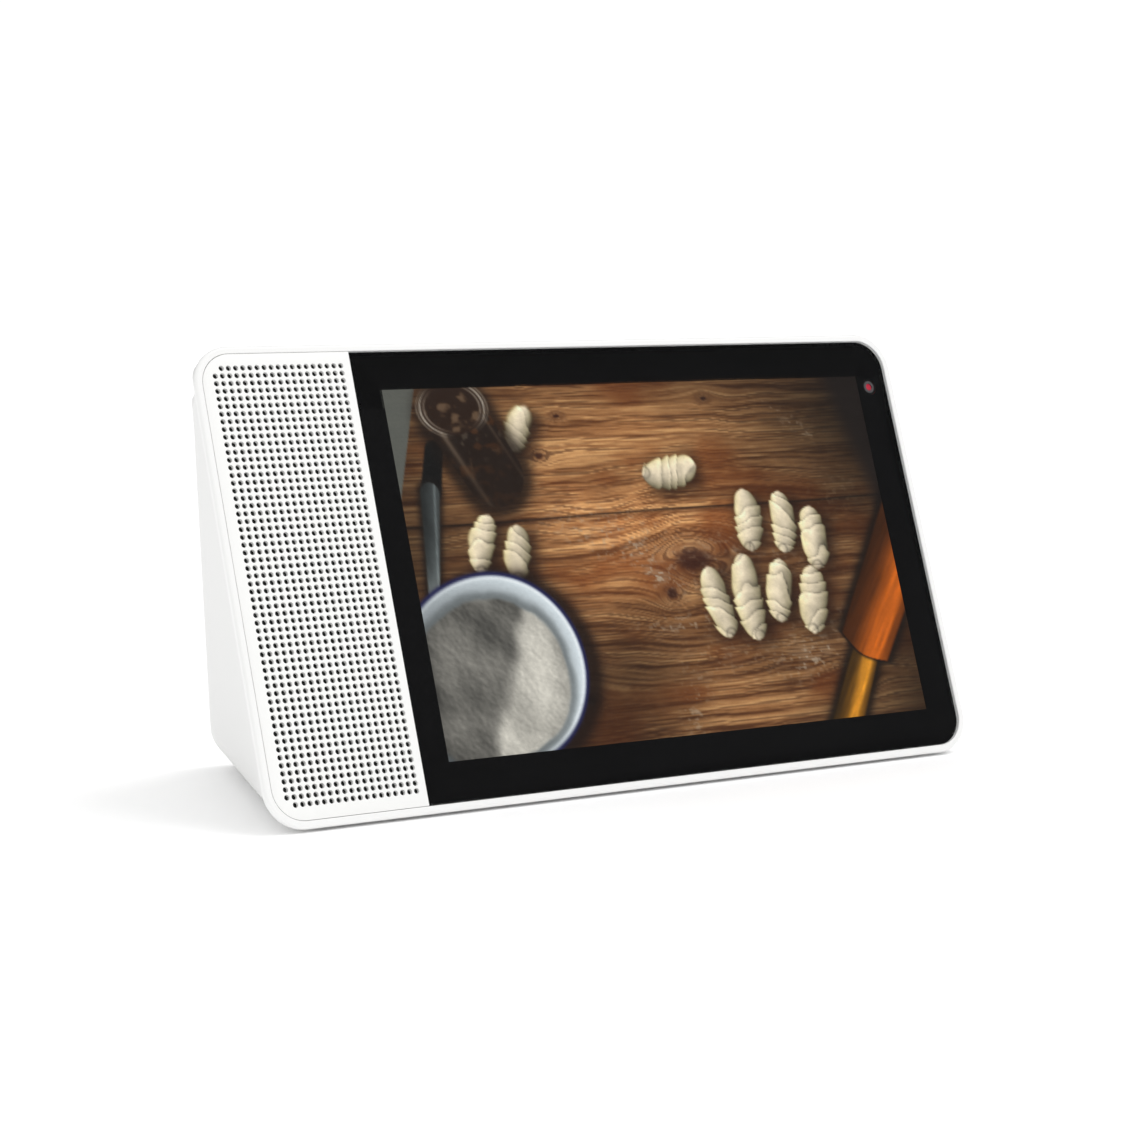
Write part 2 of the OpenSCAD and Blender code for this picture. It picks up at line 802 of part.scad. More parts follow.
module dust_cap() {
    rise = 2;
    cap_r = (coil_r * coil_r + rise * rise) / (2 * rise);
    color([0.1, 0.1, 0.1]) speaker_part() translate([0, 0, -(cone_low - 1)]) difference() {
        intersection() {
            translate([0, 0, rise - cap_r]) sphere(cap_r);
            cylinder(h = rise + 1, r = coil_r);
        }
        translate([0, 0, rise - cap_r]) sphere(cap_r - skin);
    }
}

// A half-roll ring between two radii, open at the back
module half_roll(in_r, out_r, depth) {
    mid = (in_r + out_r) / 2;
    r = (out_r - in_r) / 2;
    rotate_extrude() translate([mid, -depth]) difference() {
        intersection() {
            circle(r);
            translate([-r, 0]) square([2 * r, r]);
        }
        circle(r - skin);
    }
}

// The flat edge by which a half roll is glued down
module roll_lip(in_r, out_r, depth) {
    turned([[in_r, depth], [out_r, depth], [out_r, depth + skin], [in_r, depth + skin]]);
}

module speaker_surround() {
    color([0.08, 0.08, 0.08]) speaker_part() {
        half_roll(cone_r + 0.8, driver_hole_r, cone_top);
        roll_lip(driver_hole_r - skin, driver_hole_r, cone_top - little);
    }
}

module speaker_spider() {
    low = plate_top - spider_drop;
    edge = basket_low_r - 1.2;
    color([0.8, 0.6, 0.3]) speaker_part() turned([[coil_r + 0.3, low], [edge, low],
        [edge, plate_top - basket_t], [edge - skin, plate_top - basket_t],
        [edge - skin, low + skin], [coil_r + 0.3, low + skin]]);
}

radiator_front = baffle_front + 0.6;
radiator_t = 1.6;

module radiator_plate() {
    turned([[0, radiator_front], [radiator_plate_r, radiator_front],
        [radiator_plate_r, radiator_front + radiator_t], [0, radiator_front + radiator_t]]);
}

module upper_radiator() {
    color([0.15, 0.15, 0.15]) speaker_part(upper_y) radiator_plate();
}

module lower_radiator() {
    color([0.15, 0.15, 0.15]) speaker_part(lower_y) radiator_plate();
}

module radiator_roll() {
    half_roll(radiator_plate_r + 0.3, radiator_r, baffle_back);
    roll_lip(radiator_r - skin, radiator_r + 1.2, baffle_back);
}

module upper_surround() {
    color([0.08, 0.08, 0.08]) speaker_part(upper_y) radiator_roll();
}

module lower_surround() {
    color([0.08, 0.08, 0.08]) speaker_part(lower_y) radiator_roll();
}

// ---- Electronics
chip = 14;
chip_t = 1.4;
pad_t = 0.5;
chip_mid = board_lo + [26, 24];
sink_base = 2;
fin_t = 1.2;
memory = [9, 12, 1];
memory_y = 6;
memory_ins = [13, 25];
can = [16, 12, 2.2];
can_in = [22, 17];
can_t = 0.3;

module main_board() {
    color([0.05, 0.25, 0.12]) at_face() layer(board_front, board_back) difference() {
        translate(board_lo) square([board_w, board_h]);
        for (p = board_spots) {
            translate(p) circle(screw_r + run_gap);
        }
    }
}

module board_screws() {
    color([0.7, 0.7, 0.72]) at_face() for (p = board_spots) {
        translate([p.x, p.y, -board_back]) rotate([180, 0, 0]) screw(board_t + standoff_h - 0.6);
    }
}

module processor() {
    color([0.1, 0.1, 0.1]) at_face() layer(board_back, board_back + chip_t)
        translate(chip_mid) square(chip, center = true);
}

module memory_chips() {
    color([0.12, 0.12, 0.12]) at_face() for (in = memory_ins) {
        layer(board_back, board_back + memory.z) translate(board_lo + [board_w - in, memory_y])
            square([memory.x, memory.y]);
    }
}

module thermal_pad() {
    low = board_back + chip_t;
    color([0.6, 0.6, 0.75]) at_face() layer(low, low + pad_t)
        translate(chip_mid) square(chip, center = true);
}

module heat_sink() {
    low = board_back + chip_t + pad_t;
    step = (sink_w - fin_t) / (fins - 1);
    color([0.55, 0.55, 0.58]) at_face() {
        layer(low, low + sink_base) translate(chip_mid) square([sink_w, sink_w], center = true);
        for (i = [0 : fins - 1]) {
            layer(low + sink_base - little, low + sink_base + fin_h)
                translate(chip_mid + [-sink_w / 2 + i * step, -sink_w / 2]) square([fin_t, sink_w]);
        }
    }
}

module shield_can() {
    spot = board_lo + [board_w - can_in.x, board_h - can_in.y];
    color([0.75, 0.75, 0.75]) at_face() difference() {
        layer(board_back, board_back + can.z) translate(spot) square([can.x, can.y]);
        layer(board_back - 1, board_back + can.z - can_t) translate(spot + [can_t, can_t])
            square([can.x - 2 * can_t, can.y - 2 * can_t]);
    }
}

inlet_x = -16;
inlet_turn = atan2(-bx, -by * sin(tilt) + cos(tilt));
inlet_face_y = (inlet_h - base_z + slope_at(inlet_x, 0) * sin(tilt)) / (cos(tilt) - by * sin(tilt));
inlet_spot_y = front_y + inlet_face_y * sin(tilt) + slope_at(inlet_x, inlet_face_y) * cos(tilt);
inlet_l = 14;
inlet_floor = 3;
inlet_pin_l = 8;
wire_r = 0.7;
wire_side = 1.5;
wire_in = 1.2;
wire_edge = 5;
thin_wire_r = 0.6;
flex_t = 0.2;

// Local Z points out of the inlet, level with the table
module inlet_place() {
    translate([inlet_x, inlet_spot_y, inlet_h]) rotate([0, 0, -inlet_turn]) rotate([-90, 0, 0]) children();
}

module dc_inlet() {
    color([0.08, 0.08, 0.08]) difference() {
        intersection() {
            inlet_place() translate([0, 0, -inlet_l]) cylinder(h = 2 * inlet_l, r = inlet_body_r);
            at_face() behind_slope(shell_gap) box_from([-half_w, 0, -far], [half_w, face_h, 0]);
        }
        inlet_place() translate([0, 0, -inlet_l + inlet_floor]) cylinder(h = 3 * inlet_l, r = inlet_r);
    }
}

module inlet_pin() {
    color([0.8, 0.75, 0.6]) inlet_place() translate([0, 0, -inlet_l + inlet_floor])
        cylinder(h = inlet_pin_l, r = inlet_pin_r);
}

module power_wires() {
    start = [inlet_x, inlet_spot_y, inlet_h] - (inlet_l + wire_in) * [sin(inlet_turn), cos(inlet_turn), 0];
    landing = face_point(board_lo.x + board_w - wire_edge, board_lo.y + board_h / 2, board_back + wire_r);
    color([0.6, 0.1, 0.1]) for (side = [-wire_side, wire_side]) {
        rod(start + [side, 0, 0], landing + [side, 0, 0], wire_r);
    }
}

function face_point(x, y, d) =
    [x, front_y + y * sin(tilt) + d * cos(tilt), base_z + y * cos(tilt) - d * sin(tilt)];

module speaker_wires() {
    level = -board_back - thin_wire_r;
    color([0.1, 0.1, 0.1]) at_face() for (y = [board_lo.y + 21, board_lo.y + 24]) {
        rod([box_hi.x, y, level], [board_lo.x + 4, y, level], thin_wire_r);
    }
}

module display_flex() {
    low = chassis_lo.y + 1.6;
    high = board_lo.y + 5;
    top = -seat - 0.3;
    t = flex_t;
    color([0.8, 0.5, 0.15]) at_face() translate([flex_x, 0, 0]) rotate([90, 0, 90])
        linear_extrude(flex_w) polygon([[panel_lo.y, top], [low, top], [low, -board_front],
            [high, -board_front], [high, -board_front + t], [low + t, -board_front + t],
            [low + t, top - t], [panel_lo.y, top - t]]);
}

module camera_flex() {
    w = 4;
    level = chassis_back + camera_step;
    from_x = camera.x - cam / 2;
    run_x = from_x - 3.5;
    to_x = board_lo.x + board_w - w;
    y = board_lo.y + board_h - 3 * w;
    color([0.8, 0.5, 0.15]) at_face() {
        layer(level, level + flex_t) polygon([[from_x, camera.y - w / 2], [run_x, camera.y - w / 2],
            [run_x, y], [to_x, y], [to_x, y + w], [run_x - w, y + w],
            [run_x - w, camera.y + w / 2], [from_x, camera.y + w / 2]]);
        layer(level, board_front) translate([to_x - 2, y]) square([3, w]);
    }
}

// ---- Camera and shutter
cam = 6.6;
ring_front = seat;
ring_flange_t = 0.15;
blade_front = ring_front + 0.25;
blade_t = 0.3;
guide_front = blade_front + blade_t + 0.1;
shutter_guide_t = 0.3;
lens_front = guide_front + shutter_guide_t + 0.1;
barrel_r = 1.9;
blade_half = 3.2;
arm_x = camera.x + 4.6;
arm_t = 1;
camera_step = 0.6;
guide_h = 21.2;
guide_low = 11;
hood_h = 1.6;

module camera_ring() {
    color([0.45, 0.4, 0.42]) at_face() {
        layer(glass_back, ring_front + ring_flange_t) translate(camera) ring_shape(ring_d);
        layer(ring_front, ring_front + ring_flange_t) translate(camera) ring_shape(window_d - gap_line);
    }
}

module ring_shape(d) {
    difference() {
        circle(d = d);
        circle(d = ring_hole_d);
    }
}

module shutter_guide() {
    color([0.05, 0.05, 0.05]) at_face() layer(guide_front, guide_front + shutter_guide_t) difference() {
        translate([camera.x - blade_half, camera.y - guide_low]) square([2 * blade_half + 0.9, guide_h]);
        translate(camera) circle(barrel_r + 0.5);
    }
}

module shutter_blade() {
    tall = shutter_travel + 2 * blade_half;
    color([0.85, 0.08, 0.08]) at_face() layer(blade_front, blade_front + blade_t) difference() {
        translate([camera.x - blade_half, camera.y - blade_half])
            square([arm_x + arm_t - camera.x + blade_half, tall]);
        translate(camera + [0, shutter_travel]) circle(barrel_r + 0.6);
    }
}

module shutter_knob() {
    color(white) at_face() {
        layer(blade_front + blade_t, control_d + knob_w / 2) translate([arm_x, camera.y - knob_l / 2 + 0.5])
            square([arm_t, knob_l - 1]);
        knob(shutter_y);
    }
}

module knob(y) {
    // Stem through the wall and a rounded cap outside
    translate([arm_x + 0.5, y, -control_d]) rotate([0, 90, 0])
        linear_extrude(half_w - 0.5 - arm_x) rotate([0, 0, 90]) pill(knob_l, knob_w);
}

module camera_module() {
    color([0.1, 0.1, 0.1]) at_face() translate([camera.x, camera.y, 0]) difference() {
        union() {
            layer(lens_front + hood_h, chassis_back + camera_step) square(cam, center = true);
            layer(lens_front, lens_front + hood_h + 0.1) circle(barrel_r + 0.4);
        }
        layer(0, lens_front + 1.2) circle(barrel_r - 0.3);
    }
}

module camera_lens() {
    color([0.1, 0.1, 0.25]) at_face() translate([camera.x, camera.y, 0])
        layer(lens_front + 0.2, lens_front + 1.2) circle(barrel_r - 0.3);
}

// ---- Controls
switch_board_front = slab_room - 1.2;
lever_w = 2;
lever_t = 1;
mute_body = [3.2, 8, 3.6];
switch_x = arm_x - 6.9;

module switch_board() {
    color([0.05, 0.25, 0.12]) at_face() layer(switch_board_front, slab_room - 0.2)
        translate([switch_x - 5, mute_y - 7]) square([8.2, 14]);
}

module mute_switch_body() {
    color([0.5, 0.5, 0.52]) at_face() difference() {
        layer(switch_board_front - mute_body.z, switch_board_front)
            translate([switch_x, mute_y - mute_body.y / 2]) square([mute_body.x, mute_body.y]);
        layer(control_d - lever_t / 2 - run_gap, control_d + lever_t / 2 + run_gap)
            translate([switch_x + 1.4, mute_y - mute_travel / 2 - lever_w / 2 - run_gap])
                square([far, lever_w + 2 * run_gap + mute_travel]);
    }
}

module mute_knob() {
    color(white) at_face() {
        layer(control_d - lever_t / 2, control_d + lever_t / 2)
            translate([switch_x + 1.6, mute_y - mute_travel / 2 - lever_w / 2])
                square([arm_x + arm_t - switch_x - 1.6, lever_w]);
        translate([0, -mute_travel / 2, 0]) knob(mute_y);
    }
}

button_top = face_h + 0.2;
tact_top = face_h - 7;
plunger_l = 1.4;
button_board_t = 1;
tact = [4, 2.4, 3];
board_y = tact_top - plunger_l - tact.y;
button_board_end = 8;
plunger_r = 0.85;
plunger_in = 0.4;
lip_t = 1.2;
lip_more = 2;
mic = [4, 1.2];
antenna = [34, 10];
antenna_xs = [0, 44];
antenna_down = 28;

module button_board() {
    color([0.05, 0.25, 0.12]) at_face() layer(chassis_back, slab_room - 0.3)
        translate([button_xs[0] - button_board_end, board_y - button_board_t])
            square([button_gap + 2 * button_board_end, button_board_t]);
}

module tact_switches() {
    color([0.2, 0.2, 0.2]) at_face() for (x = button_xs) {
        difference() {
            layer(control_d - tact.z / 2, control_d + tact.z / 2) translate([x - tact.x / 2, board_y])
                square([tact.x, tact.y]);
            translate([x, tact_top, -control_d]) rotate([90, 0, 0])
                cylinder(h = plunger_l + plunger_in + button_travel + 0.1, r = plunger_r + 0.05);
        }
    }
}

module volume_up_plunger() {
    plunger(button_xs[1]);
}

module volume_down_plunger() {
    plunger(button_xs[0]);
}

module plunger(x) {
    color([0.15, 0.15, 0.15]) at_face() translate([x, tact_top, -control_d]) rotate([90, 0, 0])
        cylinder(h = plunger_l + plunger_in, r = plunger_r);
}

module volume_button(x) {
    color(white) at_face() translate([x, 0, -control_d]) rotate([-90, 0, 0]) {
        translate([0, 0, tact_top]) linear_extrude(button_top - tact_top) pill(button_l, button_w);
        translate([0, 0, tact_top]) linear_extrude(lip_t) pill(button_l + lip_more, button_w + 0.3);
    }
}

module volume_up_button() {
    volume_button(button_xs[1]);
}

module volume_down_button() {
    volume_button(button_xs[0]);
}

module microphones() {
    color([0.7, 0.65, 0.5]) at_face() for (x = mic_xs) {
        layer(frame_d, mic_back) translate([x - mic.x / 2, face_h - mic_in - mic.y / 2]) square(mic);
    }
}

module antennas() {
    color([0.2, 0.2, 0.2]) at_face() for (x = antenna_xs) {
        layer(slab_room - 0.3, slab_room - 0.05) translate([x, face_h - antenna_down]) square(antenna);
    }
}

front_frame();
speaker_grille();
acoustic_cloth();
cover_glass();
mask_film();
lcd_panel();
light_guide();
backlight_tray();
chassis();
back_shell();
front_foot();
rear_foot();
shell_screws();
chassis_screws();
board_screws();
speaker_box();
speaker_baffle();
speaker_gasket();
speaker_basket();
speaker_magnet();
top_plate();
pole_yoke();
voice_coil();
speaker_cone();
dust_cap();
speaker_surround();
speaker_spider();
upper_radiator();
upper_surround();
lower_radiator();
lower_surround();
main_board();
processor();
memory_chips();
thermal_pad();
heat_sink();
shield_can();
dc_inlet();
inlet_pin();
power_wires();
speaker_wires();
display_flex();
camera_flex();
camera_module();
camera_lens();
camera_ring();
shutter_guide();
shutter_blade();
shutter_knob();
switch_board();
mute_switch_body();
mute_knob();
button_board();
tact_switches();
volume_up_button();
volume_down_button();
volume_up_plunger();
volume_down_plunger();
microphones();
antennas();
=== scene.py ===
import json
import math
import bmesh
import bpy
import numpy as np
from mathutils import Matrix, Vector, geometry


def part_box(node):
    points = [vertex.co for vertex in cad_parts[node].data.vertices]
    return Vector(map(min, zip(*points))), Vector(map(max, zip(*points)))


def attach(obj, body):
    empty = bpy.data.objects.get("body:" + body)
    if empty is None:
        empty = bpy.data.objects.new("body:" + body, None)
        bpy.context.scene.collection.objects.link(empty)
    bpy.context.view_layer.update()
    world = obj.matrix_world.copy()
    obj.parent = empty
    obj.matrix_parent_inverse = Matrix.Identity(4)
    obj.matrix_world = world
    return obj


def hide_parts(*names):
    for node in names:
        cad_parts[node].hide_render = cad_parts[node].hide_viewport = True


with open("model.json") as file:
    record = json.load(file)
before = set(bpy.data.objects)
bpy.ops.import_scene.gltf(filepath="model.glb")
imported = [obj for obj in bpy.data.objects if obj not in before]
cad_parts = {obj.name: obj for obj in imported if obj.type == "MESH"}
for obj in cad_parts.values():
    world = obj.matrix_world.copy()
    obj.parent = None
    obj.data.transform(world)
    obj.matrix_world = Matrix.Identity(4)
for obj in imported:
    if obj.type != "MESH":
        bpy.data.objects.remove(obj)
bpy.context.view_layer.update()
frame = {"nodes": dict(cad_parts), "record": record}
print("frame loaded")

# sizes of the body in millimetres, as the CAD model has them
body = {
    "width": 263.2, "faceHeight": 147.0, "lean": 20.0, "sideSlope": 18.6,
    "cornerDepth": 109.9, "slab": 12.0, "wall": 2.0, "footHeight": 1.4,
    "cornerRadius": 12.35, "faceY": -56.455, "rim": 2.35, "frameDepth": 2.6,
    "glassRecess": 0.15, "glassBack": 1.25, "seat": 1.35, "controlDepth": 6.8,
    "dividerX": 50.8,
}
halfWidth = body["width"] / 2
faceTop = body["faceHeight"]
sinLean = math.sin(math.radians(body["lean"]))
cosLean = math.cos(math.radians(body["lean"]))
sideTan = math.tan(math.radians(body["sideSlope"]))
baseTan = math.tan(math.radians(body["lean"]))
sideSin = math.sin(math.radians(body["sideSlope"]))
splitX = -halfWidth + body["rim"] + body["dividerX"]  # where the grille ends and the glass starts


# ---- mesh helpers

# A point of the face goes x to the right, y up along the leaning face and d square into the body:
# world y = faceY + y sin(lean) + d cos(lean), world z = footHeight + y cos(lean) - d sin(lean)
def onFace(x, y, d):
    x, y, d = np.broadcast_arrays(np.asarray(x, float), y, d)
    back = body["faceY"] + y * sinLean + d * cosLean
    up = body["footHeight"] + y * cosLean - d * sinLean
    return np.stack([x, back, up], -1).reshape(-1, 3)


def finishMesh(bm, mesh, angle):
    bmesh.ops.recalc_face_normals(bm, faces=bm.faces)
    bm.to_mesh(mesh)
    bm.free()
    mesh.polygons.foreach_set("use_smooth", np.ones(len(mesh.polygons), bool))
    mesh.set_sharp_from_angle(angle=math.radians(angle))
    mesh.update()


# Points in millimetres and face groups, each an array with one row per face
def addPiece(name, points, groups, rides="housing", stands=(), slot=None, merge=0.0, angle=32):
    mesh = bpy.data.meshes.new(name)
    loops = np.concatenate([g.ravel() for g in groups])
    counts = np.concatenate([np.full(len(g), g.shape[1]) for g in groups])
    starts = np.concatenate([[0], np.cumsum(counts)[:-1]])
    mesh.vertices.add(len(points))
    mesh.vertices.foreach_set("co", (points * 0.001).astype(np.float32).ravel())
    mesh.loops.add(len(loops))
    mesh.loops.foreach_set("vertex_index", loops.astype(np.int32))
    mesh.polygons.add(len(counts))
    mesh.polygons.foreach_set("loop_start", starts.astype(np.int32))
    mesh.update(calc_edges=True)
    mesh.validate()
    bm = bmesh.new()
    bm.from_mesh(mesh)
    if merge:
        bmesh.ops.remove_doubles(bm, verts=bm.verts, dist=merge * 0.001)
    finishMesh(bm, mesh, angle)
    piece = bpy.data.objects.new(name, mesh)
    bpy.context.scene.collection.objects.link(piece)
    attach(piece, rides)
    if stands:
        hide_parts(*stands)
    if slot:
        dress(piece, slot)
    return piece


# Quads between neighbouring rows of a grid whose columns run round and close
def gridFaces(rows, columns, closeRows=False, first=0, closeColumns=True):
    i = np.arange(rows if closeRows else rows - 1)[:, None]
    j = np.arange(columns if closeColumns else columns - 1)[None, :]
    nextRow, nextColumn = (i + 1) % rows, (j + 1) % columns
    corners = [i * columns + j, i * columns + nextColumn,
               nextRow * columns + nextColumn, nextRow * columns + j]
    return first + np.stack(np.broadcast_arrays(*corners), -1).reshape(-1, 4)


# Rounded rectangle: four quarter arcs joined by straight sides, counter-clockwise from the lower left
def roundedOutline(low, high, radii, inset=0.0, steps=10):
    turns = np.radians(np.linspace(0, 90, steps + 1))
    corners = [(0, 0, 180), (1, 0, 270), (1, 1, 0), (0, 1, 90)]
    parts = []
    for (right, top, start), r in zip(corners, radii):
        r = max(r - inset, 0.12)
        cx = high[0] - inset - r if right else low[0] + inset + r
        cy = high[1] - inset - r if top else low[1] + inset + r
        a = turns + math.radians(start)
        parts.append(np.stack([cx + r * np.cos(a), cy + r * np.sin(a)], -1))
    return np.concatenate(parts)


# Outlines stacked at (inset, height) levels and joined by quads: flat caps at both ends, or a closed ring
def stackOutlines(outline, levels, place, closed=False):
    rings = [outline(inset) for inset, _ in levels]
    n = len(rings[0])
    points = np.concatenate([place(r[:, 0], r[:, 1], np.full(n, h)) for r, (_, h) in zip(rings, levels)])
    groups = [gridFaces(len(levels), n, closeRows=closed)]
    if not closed:
        groups.append(np.stack([np.arange(n)[::-1], np.arange(n) + n * (len(levels) - 1)]))
    return points, groups


def stackedSolid(name, outline, levels, place, closed=False, **more):
    return addPiece(name, *stackOutlines(outline, levels, place, closed), **more)


# Several shapes as one: the faces of each count on from the points before it
def joined(shapes):
    points, groups, first = [], [], 0
    for shapePoints, shapeGroups in shapes:
        points.append(shapePoints)
        groups += [g + first for g in shapeGroups]
        first += len(shapePoints)
    return np.concatenate(points), groups


# Placings for a shape that stands square to the top edge, and to the right edge
def throughTop(x, depth):
    return lambda u, v, h: onFace(x + u, h, depth + v)


def throughSide(y, depth):
    return lambda u, v, h: onFace(h, y + u, depth + v)


# Quarter round from (inset 0, depth r) to (inset r, depth 0), as (inset, depth) pairs
def quarterRound(r, steps=5):
    a = np.radians(np.linspace(0, 90, steps + 1))
    return [(r * (1 - math.cos(t)), r * (1 - math.sin(t))) for t in a]


# ---- noise for painting, whole arrays at a time

# Smooth random field: values on a lattice, blended with an eased weight between its points
def cloud(x, y, seed):
    lattice = np.random.default_rng(seed).random((256, 256))
    ix, iy = np.floor(x).astype(int), np.floor(y).astype(int)
    fx, fy = x - ix, y - iy
    fx, fy = fx * fx * (3 - 2 * fx), fy * fy * (3 - 2 * fy)
    at = lambda a, b: lattice[(ix + a) % 256, (iy + b) % 256]
    low = at(0, 0) * (1 - fx) + at(1, 0) * fx
    high = at(0, 1) * (1 - fx) + at(1, 1) * fx
    return low * (1 - fy) + high * fy


# Sum of clouds, each twice as fine and half as strong as the one before
def clouds(x, y, seed, layers=4):
    total, weight = 0.0, 0.0
    for k in range(layers):
        total = total + cloud(x * 2 ** k + 17 * k, y * 2 ** k + 31 * k, seed + k) * 0.5 ** k
        weight += 0.5 ** k
    return total / weight


def ease(low, high, value):
    t = np.clip((value - low) / (high - low), 0, 1)
    return t * t * (3 - 2 * t)


# A bell curve: exp of minus (distance / width) squared
def hump(distance, width):
    return np.exp(-(distance / width) ** 2)


# 1 inside a shape and half a bell curve outside it
def halo(outside, reach):
    return hump(np.maximum(outside, 0), reach)


# A bell curve in two directions, round (cx, cy)
def pool(x, y, cx, cy, rx, ry):
    return np.exp(-((x - cx) / rx) ** 2 - ((y - cy) / ry) ** 2)


def layOver(picture, colour, mask):
    return picture + (np.asarray(colour) - picture) * mask[..., None]


# ---- shader maths as Python expressions

class Wire:
    def __init__(self, finish, socket):
        self.finish, self.socket = finish, socket

    def maths(self, operation, *inputs, clamp=False):
        settings = {"operation": operation, "use_clamp": clamp}
        return self.finish.put("ShaderNodeMath", settings, dict(enumerate(inputs)))

    def __add__(self, other):
        return self.maths("ADD", self, other)

    __radd__ = __add__

    def __mul__(self, other):
        return self.maths("MULTIPLY", self, other)

    __rmul__ = __mul__

    def __sub__(self, other):
        return self.maths("SUBTRACT", self, other)

    def __rsub__(self, other):
        return self.maths("SUBTRACT", other, self)

    def clipped(self):
        return self.maths("ADD", self, 0.0, clamp=True)


# The nodes of one material, or of the world
class Finish:
    def __init__(self, name, kind="materials"):
        self.made = getattr(bpy.data, kind).new(name)
        self.made.use_nodes = True
        self.tree = self.made.node_tree
        self.tree.nodes.clear()

    # one node: its type, its settings, the values or links of its sockets
    def put(self, kind, settings=None, values=None, out=0):
        node = self.tree.nodes.new(kind)
        for key, value in (settings or {}).items():
            setattr(node, key, value)
        for key, value in (values or {}).items():
            if isinstance(value, Wire):
                self.tree.links.new(value.socket, node.inputs[key])
            else:
                node.inputs[key].default_value = value
        return Wire(self, node.outputs[out]) if node.outputs else None

    # object coordinates in millimetres, stretched and turned for this finish
    def place(self, scale=(1, 1, 1), turn=(0, 0, 0), shift=(0, 0, 0)):
        spot = self.put("ShaderNodeTexCoord", out="Object")
        return self.put("ShaderNodeMapping", None, {
            "Vector": spot, "Scale": [1000 * s for s in scale],
            "Rotation": [math.radians(t) for t in turn], "Location": shift})

    def noise(self, where, scale, detail=3.0, rough=0.55, out="Fac"):
        return self.put("ShaderNodeTexNoise", None, {
            "Vector": where, "Scale": scale, "Detail": detail, "Roughness": rough}, out)

    def blend(self, mask, first, second):
        return self.put("ShaderNodeMix", {"data_type": "RGBA"},
                        {"Factor": mask, 6: first, 7: second}, out=2)

    def bump(self, height, strength, distance):
        return self.put("ShaderNodeBump", None, {
            "Height": height, "Strength": strength, "Distance": distance}, "Normal")

    def shine(self, colour, rough, normal=None, **constants):
        values = {"Base Color": colour, "Roughness": rough}
        if normal is not None:
            values["Normal"] = normal
        values.update({key.replace("_", " "): v for key, v in constants.items()})
        return self.put("ShaderNodeBsdfPrincipled", None, values)

    def output(self, shader):
        self.put("ShaderNodeOutputMaterial", None, {"Surface": shader})
        return self.made


def rgba(colour, times=1.0):
    return (colour[0] * times, colour[1] * times, colour[2] * times, 1.0)


# ---- finishes

# Moulded plastic: base colour with a slow mottle, and a fine spark-eroded grain as bump and in the gloss
def mouldedPlastic(name, colour, rough, grain=0.35, depth=0.004, mottle=0.03, **constants):
    f = Finish(name)
    where = f.place()
    slow = f.noise(where, 0.03, 2.0)
    fine = f.noise(where, 1.0 / grain, 2.0)
    tone = f.blend(slow, rgba(colour, 1 - mottle), rgba(colour, 1 + mottle * 0.4))
    gloss = (fine - 0.5) * 0.08 + (slow - 0.5) * 0.05 + rough
    return f.output(f.shine(tone, gloss, f.bump(fine, 0.5, depth * 0.001), **constants))


# Sheet metal: long thin noise along one axis gives the brushing in colour, gloss and bump
def brushedMetal(name, colour, rough, stretch=(0.05, 2.0, 2.0), depth=0.004):
    f = Finish(name)
    lines = f.noise(f.place(stretch), 1.6, 4.0)
    stain = f.noise(f.place(), 0.06, 3.0)
    tone = f.blend(lines * 0.6 + stain * 0.4, rgba(colour, 0.8), rgba(colour, 1.12))
    gloss = (lines - 0.5) * 0.25 + (stain - 0.5) * 0.1 + rough
    return f.output(f.shine(tone, gloss, f.bump(lines, 0.4, depth * 0.001), Metallic=1.0))


# Rubber and foam: two noises, a pore pattern in the bump, dusty paler patches in the colour
def softRubber(name, colour, rough=0.75, pore=0.8, depth=0.02):
    f = Finish(name)
    where = f.place()
    dust = f.noise(where, 0.12, 4.0)
    pores = f.put("ShaderNodeTexVoronoi", None, {"Vector": where, "Scale": 1.0 / pore})
    tone = f.blend(dust, rgba(colour, 0.8), rgba(colour, 1.35))
    return f.output(f.shine(tone, (dust - 0.5) * 0.2 + rough, f.bump(pores, 0.35, depth * 0.001)))


# Woven cloth: two crossed waves whose product is the weave, dark between the threads
def wovenCloth(name, colour, thread=0.5, turn=20):
    f = Finish(name)
    where = f.place(turn=(turn, 0, 0))
    warp, weft = [f.put("ShaderNodeTexWave", {"wave_type": "BANDS", "bands_direction": way},
                        {"Vector": where, "Scale": 0.5 / thread}, "Fac") for way in "XZ"]
    weave = warp * weft
    fuzz = f.noise(where, 1.5, 3.0)
    tone = f.blend(weave * 0.7 + fuzz * 0.3, rgba(colour, 0.45), rgba(colour, 1.4))
    return f.output(f.shine(tone, fuzz * 0.15 + 0.8, f.bump(weave, 0.5, 0.00006)))


# Circuit board: solder mask with a grid of slightly paler tracks and dotted vias
def circuitBoard(name, colour):
    f = Finish(name)
    where = f.place((1, 1, 1), (20, 0, 0))
    bricks = f.put("ShaderNodeTexBrick", {"offset": 0.37, "squash": 1.6}, {
        "Vector": where, "Scale": 0.33, "Mortar Size": 0.09, "Mortar Smooth": 0.2,
        "Color1": rgba(colour), "Color2": rgba(colour, 0.8), "Mortar": rgba(colour, 1.9)})
    vias = f.put("ShaderNodeTexVoronoi", None, {"Vector": where, "Scale": 0.42})
    near = 0.16 - vias
    dots = near.maths("GREATER_THAN", near, 0.0)
    tone = f.blend(dots, bricks, (0.62, 0.5, 0.25, 1.0))
    return f.output(f.shine(tone, dots * -0.15 + 0.38, f.bump(dots, 0.3, 0.00002)))


